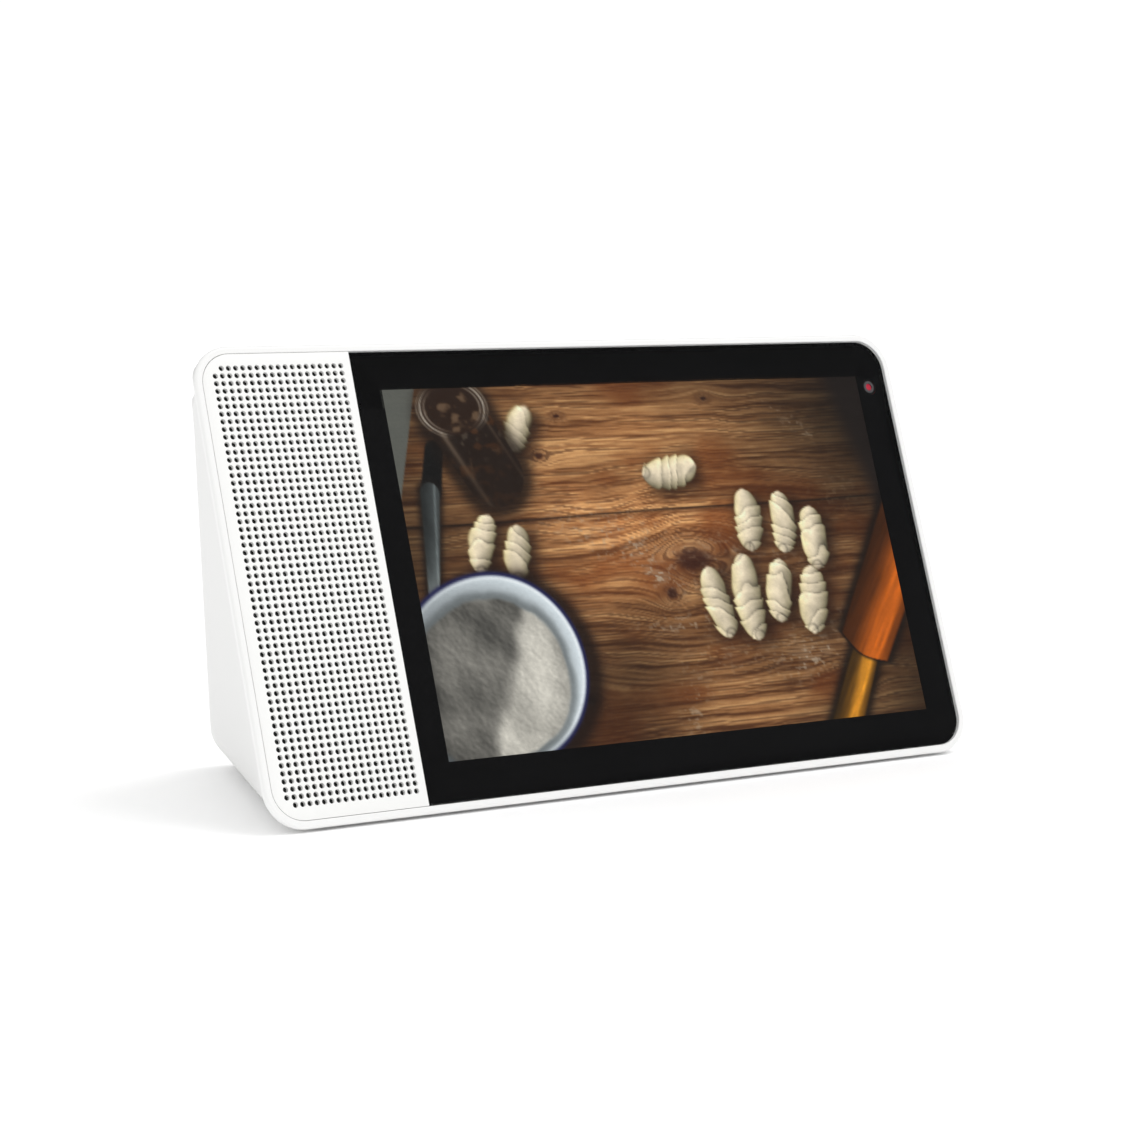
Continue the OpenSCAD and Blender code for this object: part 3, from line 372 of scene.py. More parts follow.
# Pressed paper: the product of two noises, each stretched into fibres along its own direction
def pressedPaper(name, colour):
    f = Finish(name)
    one = f.noise(f.place((0.4, 2, 2), (20, 0, 30)), 1.2, 4.0)
    two = f.noise(f.place((0.4, 2, 2), (20, 0, -40)), 1.2, 4.0)
    fibre = one * two * 1.6
    tone = f.blend(fibre, rgba(colour, 0.7), rgba(colour, 1.6))
    return f.output(f.shine(tone, fibre * 0.2 + 0.75, f.bump(fibre, 0.5, 0.00004)))


# Black print behind the glass: almost flat black, with a very slow tone and gloss change
def blackPrint(name, colour):
    f = Finish(name)
    slow = f.noise(f.place(), 0.02, 2.0)
    tone = f.blend(slow, rgba(colour, 0.75), rgba(colour, 1.3))
    return f.output(f.shine(tone, slow * 0.1 + 0.4, Specular_IOR_Level=0.1))


# Clear plate: see-through, with a mirror share s + (1 - s) (1 - cos)^5 and faint smears in its gloss
def clearGlass(name, mirrorShare=0.035):
    f = Finish(name)
    smear = f.noise(f.place((0.4, 1, 1), (0, 35, 0)), 0.05, 3.0)
    facing = f.put("ShaderNodeLayerWeight", None, {"Blend": 0.5}, "Facing")
    square = facing * facing
    edge = square * square * facing * (1 - mirrorShare) + mirrorShare
    clear = f.put("ShaderNodeBsdfTransparent", None, {"Color": (0.985, 0.99, 0.99, 1)})
    polish = f.put("ShaderNodeBsdfGlossy", None, {"Color": (1, 1, 1, 1), "Roughness": smear * 0.03 + 0.01})
    shown = f.put("ShaderNodeMixShader", None, {"Fac": edge, 1: clear, 2: polish})
    return f.output(shown)


# Lens: near-black glass under a violet coat; the coat's reflection is painted into the base colour, turning
# violet toward the edge as the surface turns edge-on
def coatedLens(name):
    f = Finish(name)
    paintedCoatReflection = f.put("ShaderNodeLayerWeight", None, {"Blend": 0.4}, "Facing")
    specks = f.noise(f.place(), 2.0, 2.0)
    # painted reflection: the base colour goes from near black to violet by the facing angle
    tone = f.blend(paintedCoatReflection, (0.01, 0.01, 0.02, 1), (0.12, 0.05, 0.22, 1))
    return f.output(f.shine(tone, specks * 0.04 + 0.03, IOR=1.6, Coat_Weight=0.6))


# The panel: its painted picture shines, times a grain of fine dots and short fibres
def litPicture(name):
    f = Finish(name)
    paint = f.put("ShaderNodeAttribute", {"attribute_name": "paint"}, None, "Color")
    where = f.place(turn=(20, 0, 0))
    dots = f.noise(where, 3.0, 2.0)
    fibre = f.noise(f.place((0.35, 1, 2.2), (20, 0, 0)), 1.1, 3.0)
    grain = (dots * 0.5 + fibre * 0.5).clipped()
    grainy = f.blend(grain, (0.84, 0.84, 0.84, 1), (1.16, 1.16, 1.16, 1))
    glow = f.put("ShaderNodeVectorMath", {"operation": "MULTIPLY"}, {0: paint, 1: grainy})
    return f.output(f.shine((0.004, 0.004, 0.004, 1), dots * 0.05 + 0.3, Specular_IOR_Level=0.2,
                            Emission_Color=glow, Emission_Strength=1.0))


# Each slot's finish: name, colour, roughness, then what its kind takes: grain or thread, depth, mottle
finishes = {
    "white_frame": mouldedPlastic("whiteFrame", (0.87, 0.87, 0.86), 0.3, 0.6, 0.0015, 0.012,
                                  Coat_Weight=0.15, Coat_Roughness=0.12),
    "white_grille": mouldedPlastic("whiteGrille", (0.88, 0.88, 0.865), 0.42, 0.35, 0.004, 0.015),
    "white_shell": mouldedPlastic("whiteShell", (0.81, 0.81, 0.80), 0.48, 0.3, 0.006, 0.02),
    "white_knob": mouldedPlastic("whiteKnob", (0.82, 0.82, 0.815), 0.34, 0.4, 0.003, 0.02),
    "black_cloth": wovenCloth("blackCloth", (0.012, 0.013, 0.013)),
    "cover_glass": clearGlass("coverGlass"),
    "black_film": blackPrint("blackFilm", (0.0035, 0.0035, 0.004)),
    "screen_panel": litPicture("screenPanel"),
    "clear_acrylic": mouldedPlastic("clearAcrylic", (0.78, 0.82, 0.85), 0.15, 1.2, 0.002),
    "tray_steel": brushedMetal("traySteel", (0.6, 0.6, 0.62), 0.35),
    "chassis_steel": brushedMetal("chassisSteel", (0.5, 0.5, 0.52), 0.42, (0.08, 1.5, 1.5)),
    "foot_rubber": softRubber("footRubber", (0.09, 0.09, 0.092), 0.7, 0.9),
    "screw_steel": brushedMetal("screwSteel", (0.5, 0.5, 0.52), 0.3, (1, 1, 1), 0.003),
    "black_plastic": mouldedPlastic("blackPlastic", (0.022, 0.022, 0.023), 0.5, 0.4, 0.01, 0.2),
    "black_foam": softRubber("blackFoam", (0.03, 0.03, 0.03), 0.95, 0.5, 0.08),
    "basket_steel": mouldedPlastic("basketPaint", (0.03, 0.03, 0.032), 0.35, 0.7, 0.01, 0.15),
    "magnet_ferrite": mouldedPlastic("magnetFerrite", (0.07, 0.07, 0.075), 0.6, 0.5, 0.02, 0.25),
    "pole_steel": brushedMetal("poleSteel", (0.55, 0.55, 0.55), 0.28, (1, 1, 1), 0.004),
    "coil_copper": brushedMetal("coilCopper", (0.62, 0.26, 0.1), 0.3, (0.1, 3, 3), 0.01),
    "cone_paper": pressedPaper("conePaper", (0.03, 0.03, 0.03)),
    "surround_rubber": softRubber("surroundRubber", (0.018, 0.018, 0.018), 0.55, 0.7),
    "spider_cloth": wovenCloth("spiderCloth", (0.4, 0.24, 0.07), 0.4),
    "radiator_metal": brushedMetal("radiatorMetal", (0.1, 0.1, 0.105), 0.4, (1, 1, 1), 0.003),
    "board_green": circuitBoard("boardGreen", (0.012, 0.1, 0.04)),
    "chip_black": mouldedPlastic("chipBlack", (0.02, 0.02, 0.021), 0.55, 0.25, 0.008, 0.2),
    "thermal_pad": softRubber("thermalPad", (0.22, 0.22, 0.32), 0.8, 0.4),
    "sink_aluminium": brushedMetal("sinkAluminium", (0.6, 0.6, 0.62), 0.38, (1, 0.05, 1)),
    "tin_plate": brushedMetal("tinPlate", (0.62, 0.62, 0.62), 0.25, (0.3, 1, 1)),
    "contact_brass": brushedMetal("contactBrass", (0.7, 0.52, 0.2), 0.25, (1, 1, 1), 0.002),
    "wire_red": mouldedPlastic("wireRed", (0.4, 0.015, 0.012), 0.4, 0.5, 0.006, 0.1),
    "wire_black": mouldedPlastic("wireBlack", (0.02, 0.02, 0.02), 0.4, 0.5, 0.006, 0.1),
    "flex_amber": mouldedPlastic("flexAmber", (0.5, 0.2, 0.02), 0.25, 1.5, 0.003, 0.25),
    "camera_black": mouldedPlastic("cameraBlack", (0.012, 0.012, 0.012), 0.45, 0.3, 0.005, 0.2),
    "lens_glass": coatedLens("lensGlass"),
    "ring_grey": mouldedPlastic("ringGrey", (0.045, 0.03, 0.034), 0.35, 0.2, 0.004, 0.1),
    "shutter_red": mouldedPlastic("shutterRed", (0.62, 0.01, 0.045), 0.4, 0.25, 0.004, 0.12),
    "tact_black": mouldedPlastic("tactBlack", (0.02, 0.02, 0.02), 0.4, 0.3, 0.005, 0.15),
    "antenna_black": mouldedPlastic("antennaBlack", (0.02, 0.02, 0.022), 0.6, 0.6, 0.004, 0.3),
}
print("finishes made:", len(finishes))


def dress(piece, slot):
    piece.data.materials.clear()
    piece.data.materials.append(finishes[slot])


slotOf = {part["node"]: part["material_slot"] for part in frame["record"]["subparts"]}
for node, cadPiece in frame["nodes"].items():
    dress(cadPiece, slotOf[node])


# ---- front frame: a rounded rim swept round the face, with its inner step
rim = {"outerRound": 1.0, "innerRound": 0.3, "steps": 7, "innerSteps": 4, "flat": 0.1, "ledge": 1.5,
       "dividerHalf": 1.6}


def faceOutline(inset, steps=20):
    r = body["cornerRadius"]
    return roundedOutline((-halfWidth, 0), (halfWidth, faceTop), (r, r, r, r), inset, steps)


def frontFrame():
    width, step, seat, end = body["rim"], rim["innerRound"], body["seat"], body["frameDepth"]
    outer = quarterRound(rim["outerRound"], rim["steps"])
    inner = [(width - t, d) for t, d in reversed(quarterRound(step, rim["innerSteps"]))]
    back = [(t, end - d) for t, d in reversed(outer)]
    profile = outer + [(rim["outerRound"] + rim["flat"], 0.0), (width - step - rim["flat"], 0.0)] + inner
    profile += [(width, seat), (width + rim["ledge"], seat), (width + rim["ledge"], end)] + back
    left, right, top = splitX - rim["dividerHalf"], splitX + rim["dividerHalf"], faceTop - width
    bar = np.array([(left, width), (right, width), (right, top), (left, top)])
    points, groups = joined([stackOutlines(faceOutline, profile, onFace, closed=True),
                             stackOutlines(lambda inset: bar, [(0, seat), (0, end)], onFace)])
    addPiece("rim_frame", points, groups, stands=("front_frame",), slot="white_frame")


frontFrame()
print("front frame made")


# ---- loudspeaker grille: one ring of faces for each hole, joined into a plate
grille = {"pitch": 2.37, "hole": 1.7, "columns": 19, "rows": 57, "left": 4.6, "base": 5.0,
          "chamfer": 0.05, "segments": 16, "gap": 0.15, "edge": 0.06, "edgeMiddle": 0.018, "sharp": 0.12}


def grilleOutline(inset):
    r = body["cornerRadius"] - body["rim"] - grille["gap"]
    low = (-halfWidth + body["rim"] + grille["gap"], body["rim"] + grille["gap"])
    high = (splitX - grille["gap"], faceTop - body["rim"] - grille["gap"])
    return roundedOutline(low, high, (r, grille["sharp"], grille["sharp"], r), inset, 14)


# Each cell is a square of one pitch; rings of 16 points lead from its edge to the hole,
# down the chamfer, through the wall and out to the square again at the back
def speakerGrille():
    n, pitch, front, back = grille["segments"], grille["pitch"], body["glassRecess"], body["seat"]
    a = 2 * math.pi * np.arange(n) / n
    reach = 1 / np.maximum(np.abs(np.cos(a)), np.abs(np.sin(a)))
    circle = np.stack([np.cos(a), np.sin(a)], -1)
    square, r = circle * reach[:, None] * pitch / 2, grille["hole"] / 2
    rings = np.stack([square, circle * (r + grille["chamfer"]), circle * r, circle * r, square])
    depths = np.array([front, front, front + grille["chamfer"], back, back])
    i, j = np.meshgrid(np.arange(grille["columns"]), np.arange(grille["rows"]), indexing="ij")
    i, j = i.ravel(), j.ravel()
    solid = (i == 0) & ((j == 0) | (j == grille["rows"] - 1))
    x0, y0 = -halfWidth + body["rim"] + grille["left"], body["rim"] + grille["base"]
    centres = np.stack([x0 + i * pitch, y0 + j * pitch], -1)
    spots = centres[:, None, None, :] + rings[None]
    d = np.broadcast_to(depths[None, :, None], spots.shape[:3])
    points = onFace(spots[..., 0], spots[..., 1], d)
    cell = gridFaces(5, n)
    holes = np.flatnonzero(~solid)
    groups = [(cell[None] + (holes * 5 * n)[:, None, None]).reshape(-1, 4)]
    for k in np.flatnonzero(solid):
        groups.append(np.stack([k * 5 * n + np.arange(n), k * 5 * n + 4 * n + np.arange(n)[::-1]]))
    # border between the block of cells and the plate's outline, in the front and back planes
    half = pitch / 2
    lowX, lowY = x0 - half, y0 - half
    highX, highY = x0 + (grille["columns"] - 0.5) * pitch, y0 + (grille["rows"] - 0.5) * pitch
    marks = np.array([-half, -half * math.tan(math.pi / 8), 0, half * math.tan(math.pi / 8)])
    alongX = np.append((x0 + np.arange(grille["columns"])[:, None] * pitch + marks).ravel(), highX)
    alongY = np.append((y0 + np.arange(grille["rows"])[:, None] * pitch + marks).ravel(), highY)
    block = np.concatenate([
        np.stack([alongX[:-1], np.full(len(alongX) - 1, lowY)], -1),
        np.stack([np.full(len(alongY) - 1, highX), alongY[:-1]], -1),
        np.stack([alongX[:0:-1], np.full(len(alongX) - 1, highY)], -1),
        np.stack([np.full(len(alongY) - 1, lowX), alongY[:0:-1]], -1)])
    for depth, inset in ((front, grille["edge"]), (back, 0.0)):
        edge = grilleOutline(inset)
        flat = np.concatenate([block, edge])
        loops = [(k, (k + 1) % len(block)) for k in range(len(block))]
        loops += [(len(block) + k, len(block) + (k + 1) % len(edge)) for k in range(len(edge))]
        made = geometry.delaunay_2d_cdt([Vector(p) for p in flat], loops, [], 1, 1e-5)
        corners, faces = np.array([tuple(v) for v in made[0]]), np.array(made[2])
        middle = corners[faces].mean(1)
        outside = ~((middle[:, 0] > lowX) & (middle[:, 0] < highX)
                    & (middle[:, 1] > lowY) & (middle[:, 1] < highY))
        groups.append(faces[outside] + len(points))
        points = np.concatenate([points, onFace(corners[:, 0], corners[:, 1], depth)])
    edge, middle = grille["edge"], grille["edgeMiddle"]
    sides = [(edge, front), (middle, front + middle), (0.0, front + edge), (0.0, back)]
    rings = [onFace(*grilleOutline(t).T, d) for t, d in sides]
    groups.append(gridFaces(len(sides), len(rings[0]), first=len(points)))
    points = np.concatenate([points, *rings])
    addPiece("speaker_grille_plate", points, groups, stands=("speaker_grille",),
             slot="white_grille", merge=0.004)
    print("grille made:", len(holes), "holes")


speakerGrille()


# ---- cover glass with a ground chamfer
glass = {"gap": 0.15, "chamfer": 0.28, "corner": 0.3, "flat": 0.1}


def glassOutline(inset):
    r = body["cornerRadius"] - body["rim"] - glass["gap"]
    low = (splitX + glass["gap"], body["rim"] + glass["gap"])
    high = (halfWidth - body["rim"] - glass["gap"], faceTop - body["rim"] - glass["gap"])
    return roundedOutline(low, high, (glass["corner"], r, r, glass["corner"]), inset, 16)


front, back, cut = body["glassRecess"], body["glassBack"], glass["chamfer"]
stackedSolid("front_glass", glassOutline,
             [(cut + glass["flat"], front), (cut, front), (0, front + cut), (0, back)], onFace,
             stands=("cover_glass",), slot="cover_glass")
print("cover glass made")


# ---- picture on the panel: a plain kitchen table, painted in millimetres from its upper left
picture = {"width": 185.7, "height": 117.2, "right": 12.25, "top": 12.4, "rim": 0.6,
           "columns": 392, "rows": 246, "thick": 1.1}
pictureLeft = halfWidth - body["rim"] - picture["right"] - picture["width"]
pictureTop = faceTop - body["rim"] - picture["top"]
dough = (0.87, 0.83, 0.75)
rolls = [  # across, down, width, length, lean to the right, blur
    (46.5, 14.0, 9.5, 16.0, 30, 1.4), (25.8, 50.5, 9.5, 19.0, 20, 0.5),
    (37.8, 54.2, 10.0, 17.5, 8, 0.5), (128.2, 48.2, 11.5, 20.5, 2, 0.3),
    (142.2, 49.6, 10.6, 20.5, 6, 0.3), (153.8, 55.6, 11.4, 21.0, 6, 0.3),
    (109.9, 75.0, 10.8, 23.5, -8, 0.3), (122.4, 74.0, 11.8, 28.5, 0, 0.3),
    (135.2, 72.6, 10.8, 21.0, 10, 0.3), (148.2, 76.6, 12.0, 22.5, 8, 0.3),
    (101.0, 30.5, 11.5, 21.0, 82, 0.5)]
knots = [  # across, down, radius, stretch along the grain
    (103.5, 60.2, 5.4, 2.1), (92.6, 71.0, 2.6, 1.3), (52.6, 23.2, 1.6, 1.5), (61.8, 10.4, 1.2, 1.6),
    (120.0, 6.0, 1.3, 1.6), (54.5, 103.0, 1.9, 1.4), (160.0, 104.0, 2.2, 2.0)]


# Grain lines are the levels of flow = down + wobble, bent round each knot of radius R by
# 2.6 R^2 dy / (distance^2 + 0.6 R^2); the rings alone also fan out to the left of the largest knot
def tableTop(x, y):
    flow = y + 4.5 * (clouds(x / 46, y / 20, 5, 3) - 0.5) + 1.2 * (cloud(x / 11, y / 7, 6) - 0.5)
    dark = np.zeros_like(x)
    for kx, ky, r, stretch in knots:
        dx, dy = (x - kx) / stretch, y - ky
        far2 = dx * dx + dy * dy
        flow = flow - 2.6 * r * r * dy / (far2 + r * r * 0.6)
        ring = np.sqrt(far2) + 1.1 * (clouds(x / 3, y / 3, 9, 3) - 0.5)
        dark = np.maximum(dark, (1 - ease(r * 0.35, r * 1.05, ring)) * 0.85)
        dark = np.maximum(dark, 0.25 * (1 - ease(r * 0.8, r * 2.4, ring)))
    coarse = cloud(x / 55, flow / 2.6, 11)
    medium = cloud(x / 34, flow / 1.1, 12)
    fine = cloud(x / 15, flow / 0.5, 13)
    hair = cloud(x / 4, flow / 0.3, 14)
    fan = pool(x, y, 86, 56, 24, 15)
    flow = flow + fan * 0.22 * np.abs(x - 104) * (y - 60) / 9
    rings = 0.5 + 0.5 * np.sin(flow * 2 * math.pi / 1.9 + 4 * cloud(x / 40, flow / 9, 15))
    tone = 0.26 * coarse + 0.30 * medium + 0.2 * fine + 0.09 * hair + 0.15 * rings
    wood = np.ones((*x.shape, 3)) * (0.66, 0.455, 0.28)
    wood = layOver(wood, (0.93, 0.71, 0.47), ease(0.46, 0.72, tone) * 0.8)
    wood = layOver(wood, (0.36, 0.205, 0.105), ease(0.50, 0.28, tone) * 0.9)
    wood = layOver(wood, (0.22, 0.11, 0.06), ease(0.66, 0.95, rings * (0.55 + medium * 0.65)) * 0.5)
    stain = clouds(x / 30, y / 13, 21, 4)
    wood = layOver(wood, (0.47, 0.225, 0.085), ease(0.48, 0.76, stain) * 0.6)
    wood = layOver(wood, (0.20, 0.09, 0.06), dark)
    seam = 44.3 - 2.2 * x / picture["width"] + 0.25 * np.sin(x / 19)
    wood = layOver(wood, (0.09, 0.055, 0.04), hump(y - seam, 0.38) * 0.85)
    return layOver(wood, (0.25, 0.14, 0.08), hump(y - seam - 0.9, 1.1) * 0.35)


# Light on the table: an even level plus or minus soft pools, brightest at the middle left
# and dark at both right corners and the left edge
lightPools = [  # strength, across, down, half widths across and down
    (0.44, 66, 54, 46, 34), (0.30, 118, 48, 46, 32), (0.24, 52, 10, 50, 26), (0.20, 150, 70, 34, 26),
    (-0.30, 186, 8, 36, 42), (0.36, 118, 108, 40, 17), (-0.20, 190, 112, 22, 34),
    (-0.08, 2, 46, 14, 30), (-0.14, 72, 100, 16, 14), (0.16, 108, 14, 30, 14)]


def tableLight(x, y):
    light = 0.52
    for strength, *place in lightPools:
        light = light + strength * pool(x, y, *place)
    return np.clip(light * (0.86 + 0.28 * clouds(x / 26, y / 15, 25, 3)), 0.14, 1.25)


# Flour lies in streaks: fine noise inside soft patches
def flourDust(x, y):
    dust = np.zeros_like(x)
    for cx, cy, rx, ry, turn, strength in [
            (89, 64, 9, 4, 30, 0.8), (154, 15, 12, 2.2, 35, 0.9), (144, 96, 12, 6, -10, 0.75),
            (93, 109, 5, 11, 15, 0.6), (78, 56, 11, 3, 0, 0.35), (95, 81, 16, 2.6, 0, 0.7),
            (128, 62, 30, 14, 0, 0.35), (166, 40, 10, 8, 0, 0.3), (70, 48, 22, 7, 8, 0.4),
            (120, 92, 34, 8, 0, 0.3), (152, 84, 12, 5, 0, 0.6)]:
        c, s = math.cos(math.radians(turn)), math.sin(math.radians(turn))
        u, v = (x - cx) * c + (y - cy) * s, (y - cy) * c - (x - cx) * s
        dust = dust + strength * pool(u, v, 0, 0, rx, ry)
    specks = ease(0.56, 0.78, clouds(x / 1.6, y / 1.1, 31, 3))
    specks = specks + 0.35 * ease(0.45, 0.75, clouds(x / 5, y / 2, 35, 3))
    return np.clip(dust * specks, 0, 0.85)


# One roll of dough: a capsule with tapered ends, shaded as half a cylinder. Its turns are the levels of
# step = share of the length + slant * across - bow, with a dark line and a bright raised edge at each
def doughRoll(scene, x, y, cx, cy, width, length, lean, blur, seed):
    c, s = math.cos(math.radians(lean)), math.sin(math.radians(lean))
    along, across = -(y - cy) * c + (x - cx) * s, (x - cx) * c + (y - cy) * s
    across = across + 0.5 * np.sin(along / length * 5 + seed)
    across = across + 0.5 * (clouds(x / 4, y / 4, 41 + seed, 2) - 0.5)
    half = length / 2
    a = np.clip(along / half, -1, 1)
    turns = 3.6 + 0.55 * (seed % 3)
    slant = 0.5 if seed % 2 else -0.42
    bend = np.clip(across / (width / 2), -1, 1)
    uneven = 0.34 * np.sin(a * 4.1 + seed * 1.7) + 0.9 * (clouds(x / 6, y / 6, 45 + seed, 2) - 0.5)
    step = (a + 1) * turns / 2 + slant * bend - 0.30 * (1 - bend * bend) + uneven
    lap = step - np.floor(step)
    reach = width / 2 * (0.30 + 0.68 * np.sqrt(np.clip(1 - np.abs(a) ** 2.0, 0, 1)))
    reach = reach * (0.90 + 0.20 * lap)
    side = across / np.maximum(reach, 0.3)
    end = np.hypot(np.maximum(np.abs(along) - half + reach * 0.7, 0), across) - reach * 0.96
    edge = np.maximum(np.abs(across) - reach, end) / (0.5 + blur)
    inside = 1 - ease(-0.6, 0.6, edge)
    shadeX, shadeY = x - cx - 1.9, y - cy - 1.2
    shadow = np.exp(-(np.abs(shadeX * c + shadeY * s) / (width * 0.60)) ** 3
                    - (np.abs(-shadeY * c + shadeX * s) / (half * 1.05)) ** 5)
    scene = layOver(scene, (0.12, 0.065, 0.04), 0.8 * shadow)
    bulge = np.sqrt(np.clip(1 - side * side, 0, 1))
    lit = 0.50 + 0.36 * bulge - 0.24 * side + 0.04 * a
    soft = 1 - min(blur / 2.2, 0.75)
    fold = hump(lap, 0.10) + 0.5 * hump(lap - 1, 0.04)
    raised = hump(lap - 0.84, 0.13)
    deep = 0.13 + 0.26 * ease(-0.5, 1, side) * ease(0.3, 0.7, clouds(x / 3, y / 3, 48 + seed, 2))
    lit = lit * (1 - deep * soft * fold) + 0.08 * soft * raised
    lit = lit - 0.10 * soft * ease(0.45, 0.05, lap) * bulge
    lit = lit * (0.88 + 0.24 * clouds(x / 3.2, y / 3.2, 51 + seed, 3))
    nub = np.hypot(across - 0.1 * width * math.sin(seed), along + half * 0.93)
    lit = lit * (1 - 0.30 * soft * hump(nub - width * 0.17, 0.45))
    warm = 1 - 0.20 * (1 - bulge)
    tint = np.stack([lit * dough[0] * 1.18, lit * dough[1] * 1.15, lit * dough[2] * 1.10 * warm], -1)
    return layOver(scene, np.clip(tint, 0, 0.98), inside)


# Bowl: a circle whose left half reaches 1 / 0.86 as far, and its lower left up to 1 / 0.74; a thin dark
# line round it, a pale wall that darkens to the lower left, and a mound of flour with one bright ridge
def flourBowl(scene, x, y, cx=24.6, cy=90.6, r=30.4):
    dx, dy = x - cx, y - cy
    leftward = ease(0, 1, -dx / r)
    dx = np.where(dx < 0, dx * 0.86, dx)
    dy = np.where(dy > 0, dy * (1 - 0.26 * leftward), dy)
    out = np.hypot(dx, dy)
    scene = layOver(scene, (0.09, 0.05, 0.035), 0.8 * halo(np.hypot(dx - 3.0, dy - 1.0) - r, 3.2))
    wallLit = 0.55 + 0.40 * ease(-1, 0.9, (dx * 0.9 - dy * 0.45) / r)
    wallLit = wallLit - 0.20 * ease(0, 1, (dy - dx) / r / 1.4)
    wallLit = wallLit * (0.72 + 0.28 * ease(r * 0.72, r * 0.99, out))
    wall = np.clip(wallLit, 0.2, 1.0)[..., None] * np.array((0.93, 0.97, 0.99))
    scene = layOver(scene, np.clip(wall, 0, 1), 1 - ease(r - 0.6, r + 0.2, out))
    mound = np.hypot(dx + 1.4, dy - 2.8) - 25.0 - 2.6 * (clouds(x / 9, y / 9, 61, 3) - 0.5)
    height = 1.0 * clouds(x / 17, y / 17, 71, 2) + 0.08 * clouds(x / 4, y / 4, 75, 3)
    height = height + 0.03 * clouds(x / 1.1, y / 1.1, 77, 2)
    slopeX, slopeY = np.gradient(height, axis=1), np.gradient(height, axis=0)
    ridgeLine = (dx + 0.35 * dy - 2.0 + 5 * (clouds(x / 10, y / 10, 73, 3) - 0.5)) / r
    ridge = 0.36 * ease(-0.04, 0.16, ridgeLine) * (1 - ease(0.45, 0.8, ridgeLine) * 0.3)
    lit = 0.47 + 4.2 * slopeX - 2.8 * slopeY + ridge
    lit = lit - 0.12 * ease(0.1, 0.9, -dx / r)
    lit = lit - 0.06 * ease(0.2, 0.9, dy / r)
    lit = np.clip(lit * (0.94 + 0.12 * clouds(x / 0.8, y / 0.8, 81, 2)), 0.24, 0.93)
    flour = lit[..., None] * np.array((0.93, 0.91, 0.86))
    foot = 0.55 * (1 - ease(0, 3.0, np.abs(mound - 0.8))) * (1 - ease(r - 1, r, out))
    scene = layOver(scene, (0.33, 0.35, 0.35), foot)
    scene = layOver(scene, flour, (1 - ease(-0.8, 0.8, mound)) * (1 - ease(r - 1.4, r - 0.6, out)))
    scene = layOver(scene, (0.12, 0.125, 0.30), hump(out - r - 0.1, 0.75) * 0.95)
    glint = hump(out - r + 1.4, 0.45) * (0.5 + 0.5 * np.cos(np.arctan2(dy, dx) + 0.5))
    return layOver(scene, (0.95, 0.97, 0.98), glint * 0.85)


# A thick line from a to b whose radius changes evenly along it: the distance outside it, the distance
# to one side of its middle, and the share of the way along it
def thickLine(x, y, a, b, ra, rb):
    dx, dy = b[0] - a[0], b[1] - a[1]
    t = np.clip(((x - a[0]) * dx + (y - a[1]) * dy) / (dx * dx + dy * dy), 0, 1)
    side = ((x - a[0]) * dy - (y - a[1]) * dx) / math.hypot(dx, dy)
    return np.hypot(x - a[0] - t * dx, y - a[1] - t * dy) - (ra + (rb - ra) * t), side, t


# Jar of dark syrup: a tapered thick line with two bright streaks, and an elliptical mouth with
# three bright arcs round it
def syrupJar(scene, x, y):
    outside, side, t = thickLine(x, y, (24.5, 9.5), (34.5, 28.5), 11.5, 10.8)
    scene = layOver(scene, (0.08, 0.05, 0.035), 0.75 * halo(outside - 0.6, 3.4))
    glassTone = np.ones((*x.shape, 3)) * (0.13, 0.085, 0.06)
    streak = hump(side + 7.6, 1.0) * 0.5 + hump(side - 8.8, 0.6) * 0.3
    glassTone = layOver(glassTone, (0.62, 0.55, 0.47), streak * (1 - t * 0.6))
    blots = clouds(x / 3.4, y / 2.4, 91, 4)
    glassTone = layOver(glassTone, (0.42, 0.24, 0.10), ease(0.55, 0.75, blots) * 0.55 * (1 - t * 0.7))
    flecks = ease(0.66, 0.8, clouds(x / 1.8, y / 2.6, 95, 3))
    glassTone = layOver(glassTone, (0.50, 0.46, 0.40), flecks * 0.5 * (1 - t))
    scene = layOver(scene, glassTone, 1 - ease(-0.5, 0.4, outside))
    mouth = np.hypot((x - 23.8) / 11.6, (y - 6.6) / 8.8)
    scene = layOver(scene, (0.16, 0.10, 0.065), 1 - ease(0.93, 1.0, mouth))
    inner = ease(0.5, 0.72, clouds(x / 4, y / 3, 97, 3))
    scene = layOver(scene, (0.52, 0.42, 0.32), (1 - ease(0.8, 0.95, mouth)) * inner * 0.6)
    gleam = 0.45 + 0.55 * np.cos(np.arctan2(y - 6.6, x - 23.8) * 2 + 0.6)
    for radius, strength in ((1.0, 0.8), (1.1, 0.4), (0.88, 0.45)):
        lip = hump(mouth - radius, 0.035) * gleam
        scene = layOver(scene, (0.80, 0.76, 0.70), np.clip(lip, 0, 1) * strength)
    return scene


# Knife: a black handle and a dull blade lying at the left edge
def tableKnife(scene, x, y):
    outside, _, _ = thickLine(x, y, (14.5, 20.0), (11.0, 33.0), 3.2, 3.6)
    scene = layOver(scene, (0.05, 0.045, 0.045), 1 - ease(-0.5, 0.5, outside))
    outside, side, t = thickLine(x, y, (10.4, 33.5), (5.6, 65.0), 3.4, 2.0)
    scene = layOver(scene, (0.07, 0.045, 0.035), 0.7 * halo(outside, 1.6))
    steel = 0.16 + 0.09 * ease(-2.5, 1.5, side) + 0.14 * hump(side - 1.6, 0.4) + 0.3 * t ** 4
    steel = (steel * (0.8 + 0.4 * clouds(x / 3, y / 5, 99, 3)))[..., None] * np.array((0.94, 1.0, 1.0))
    return layOver(scene, steel, 1 - ease(-0.4, 0.4, outside))


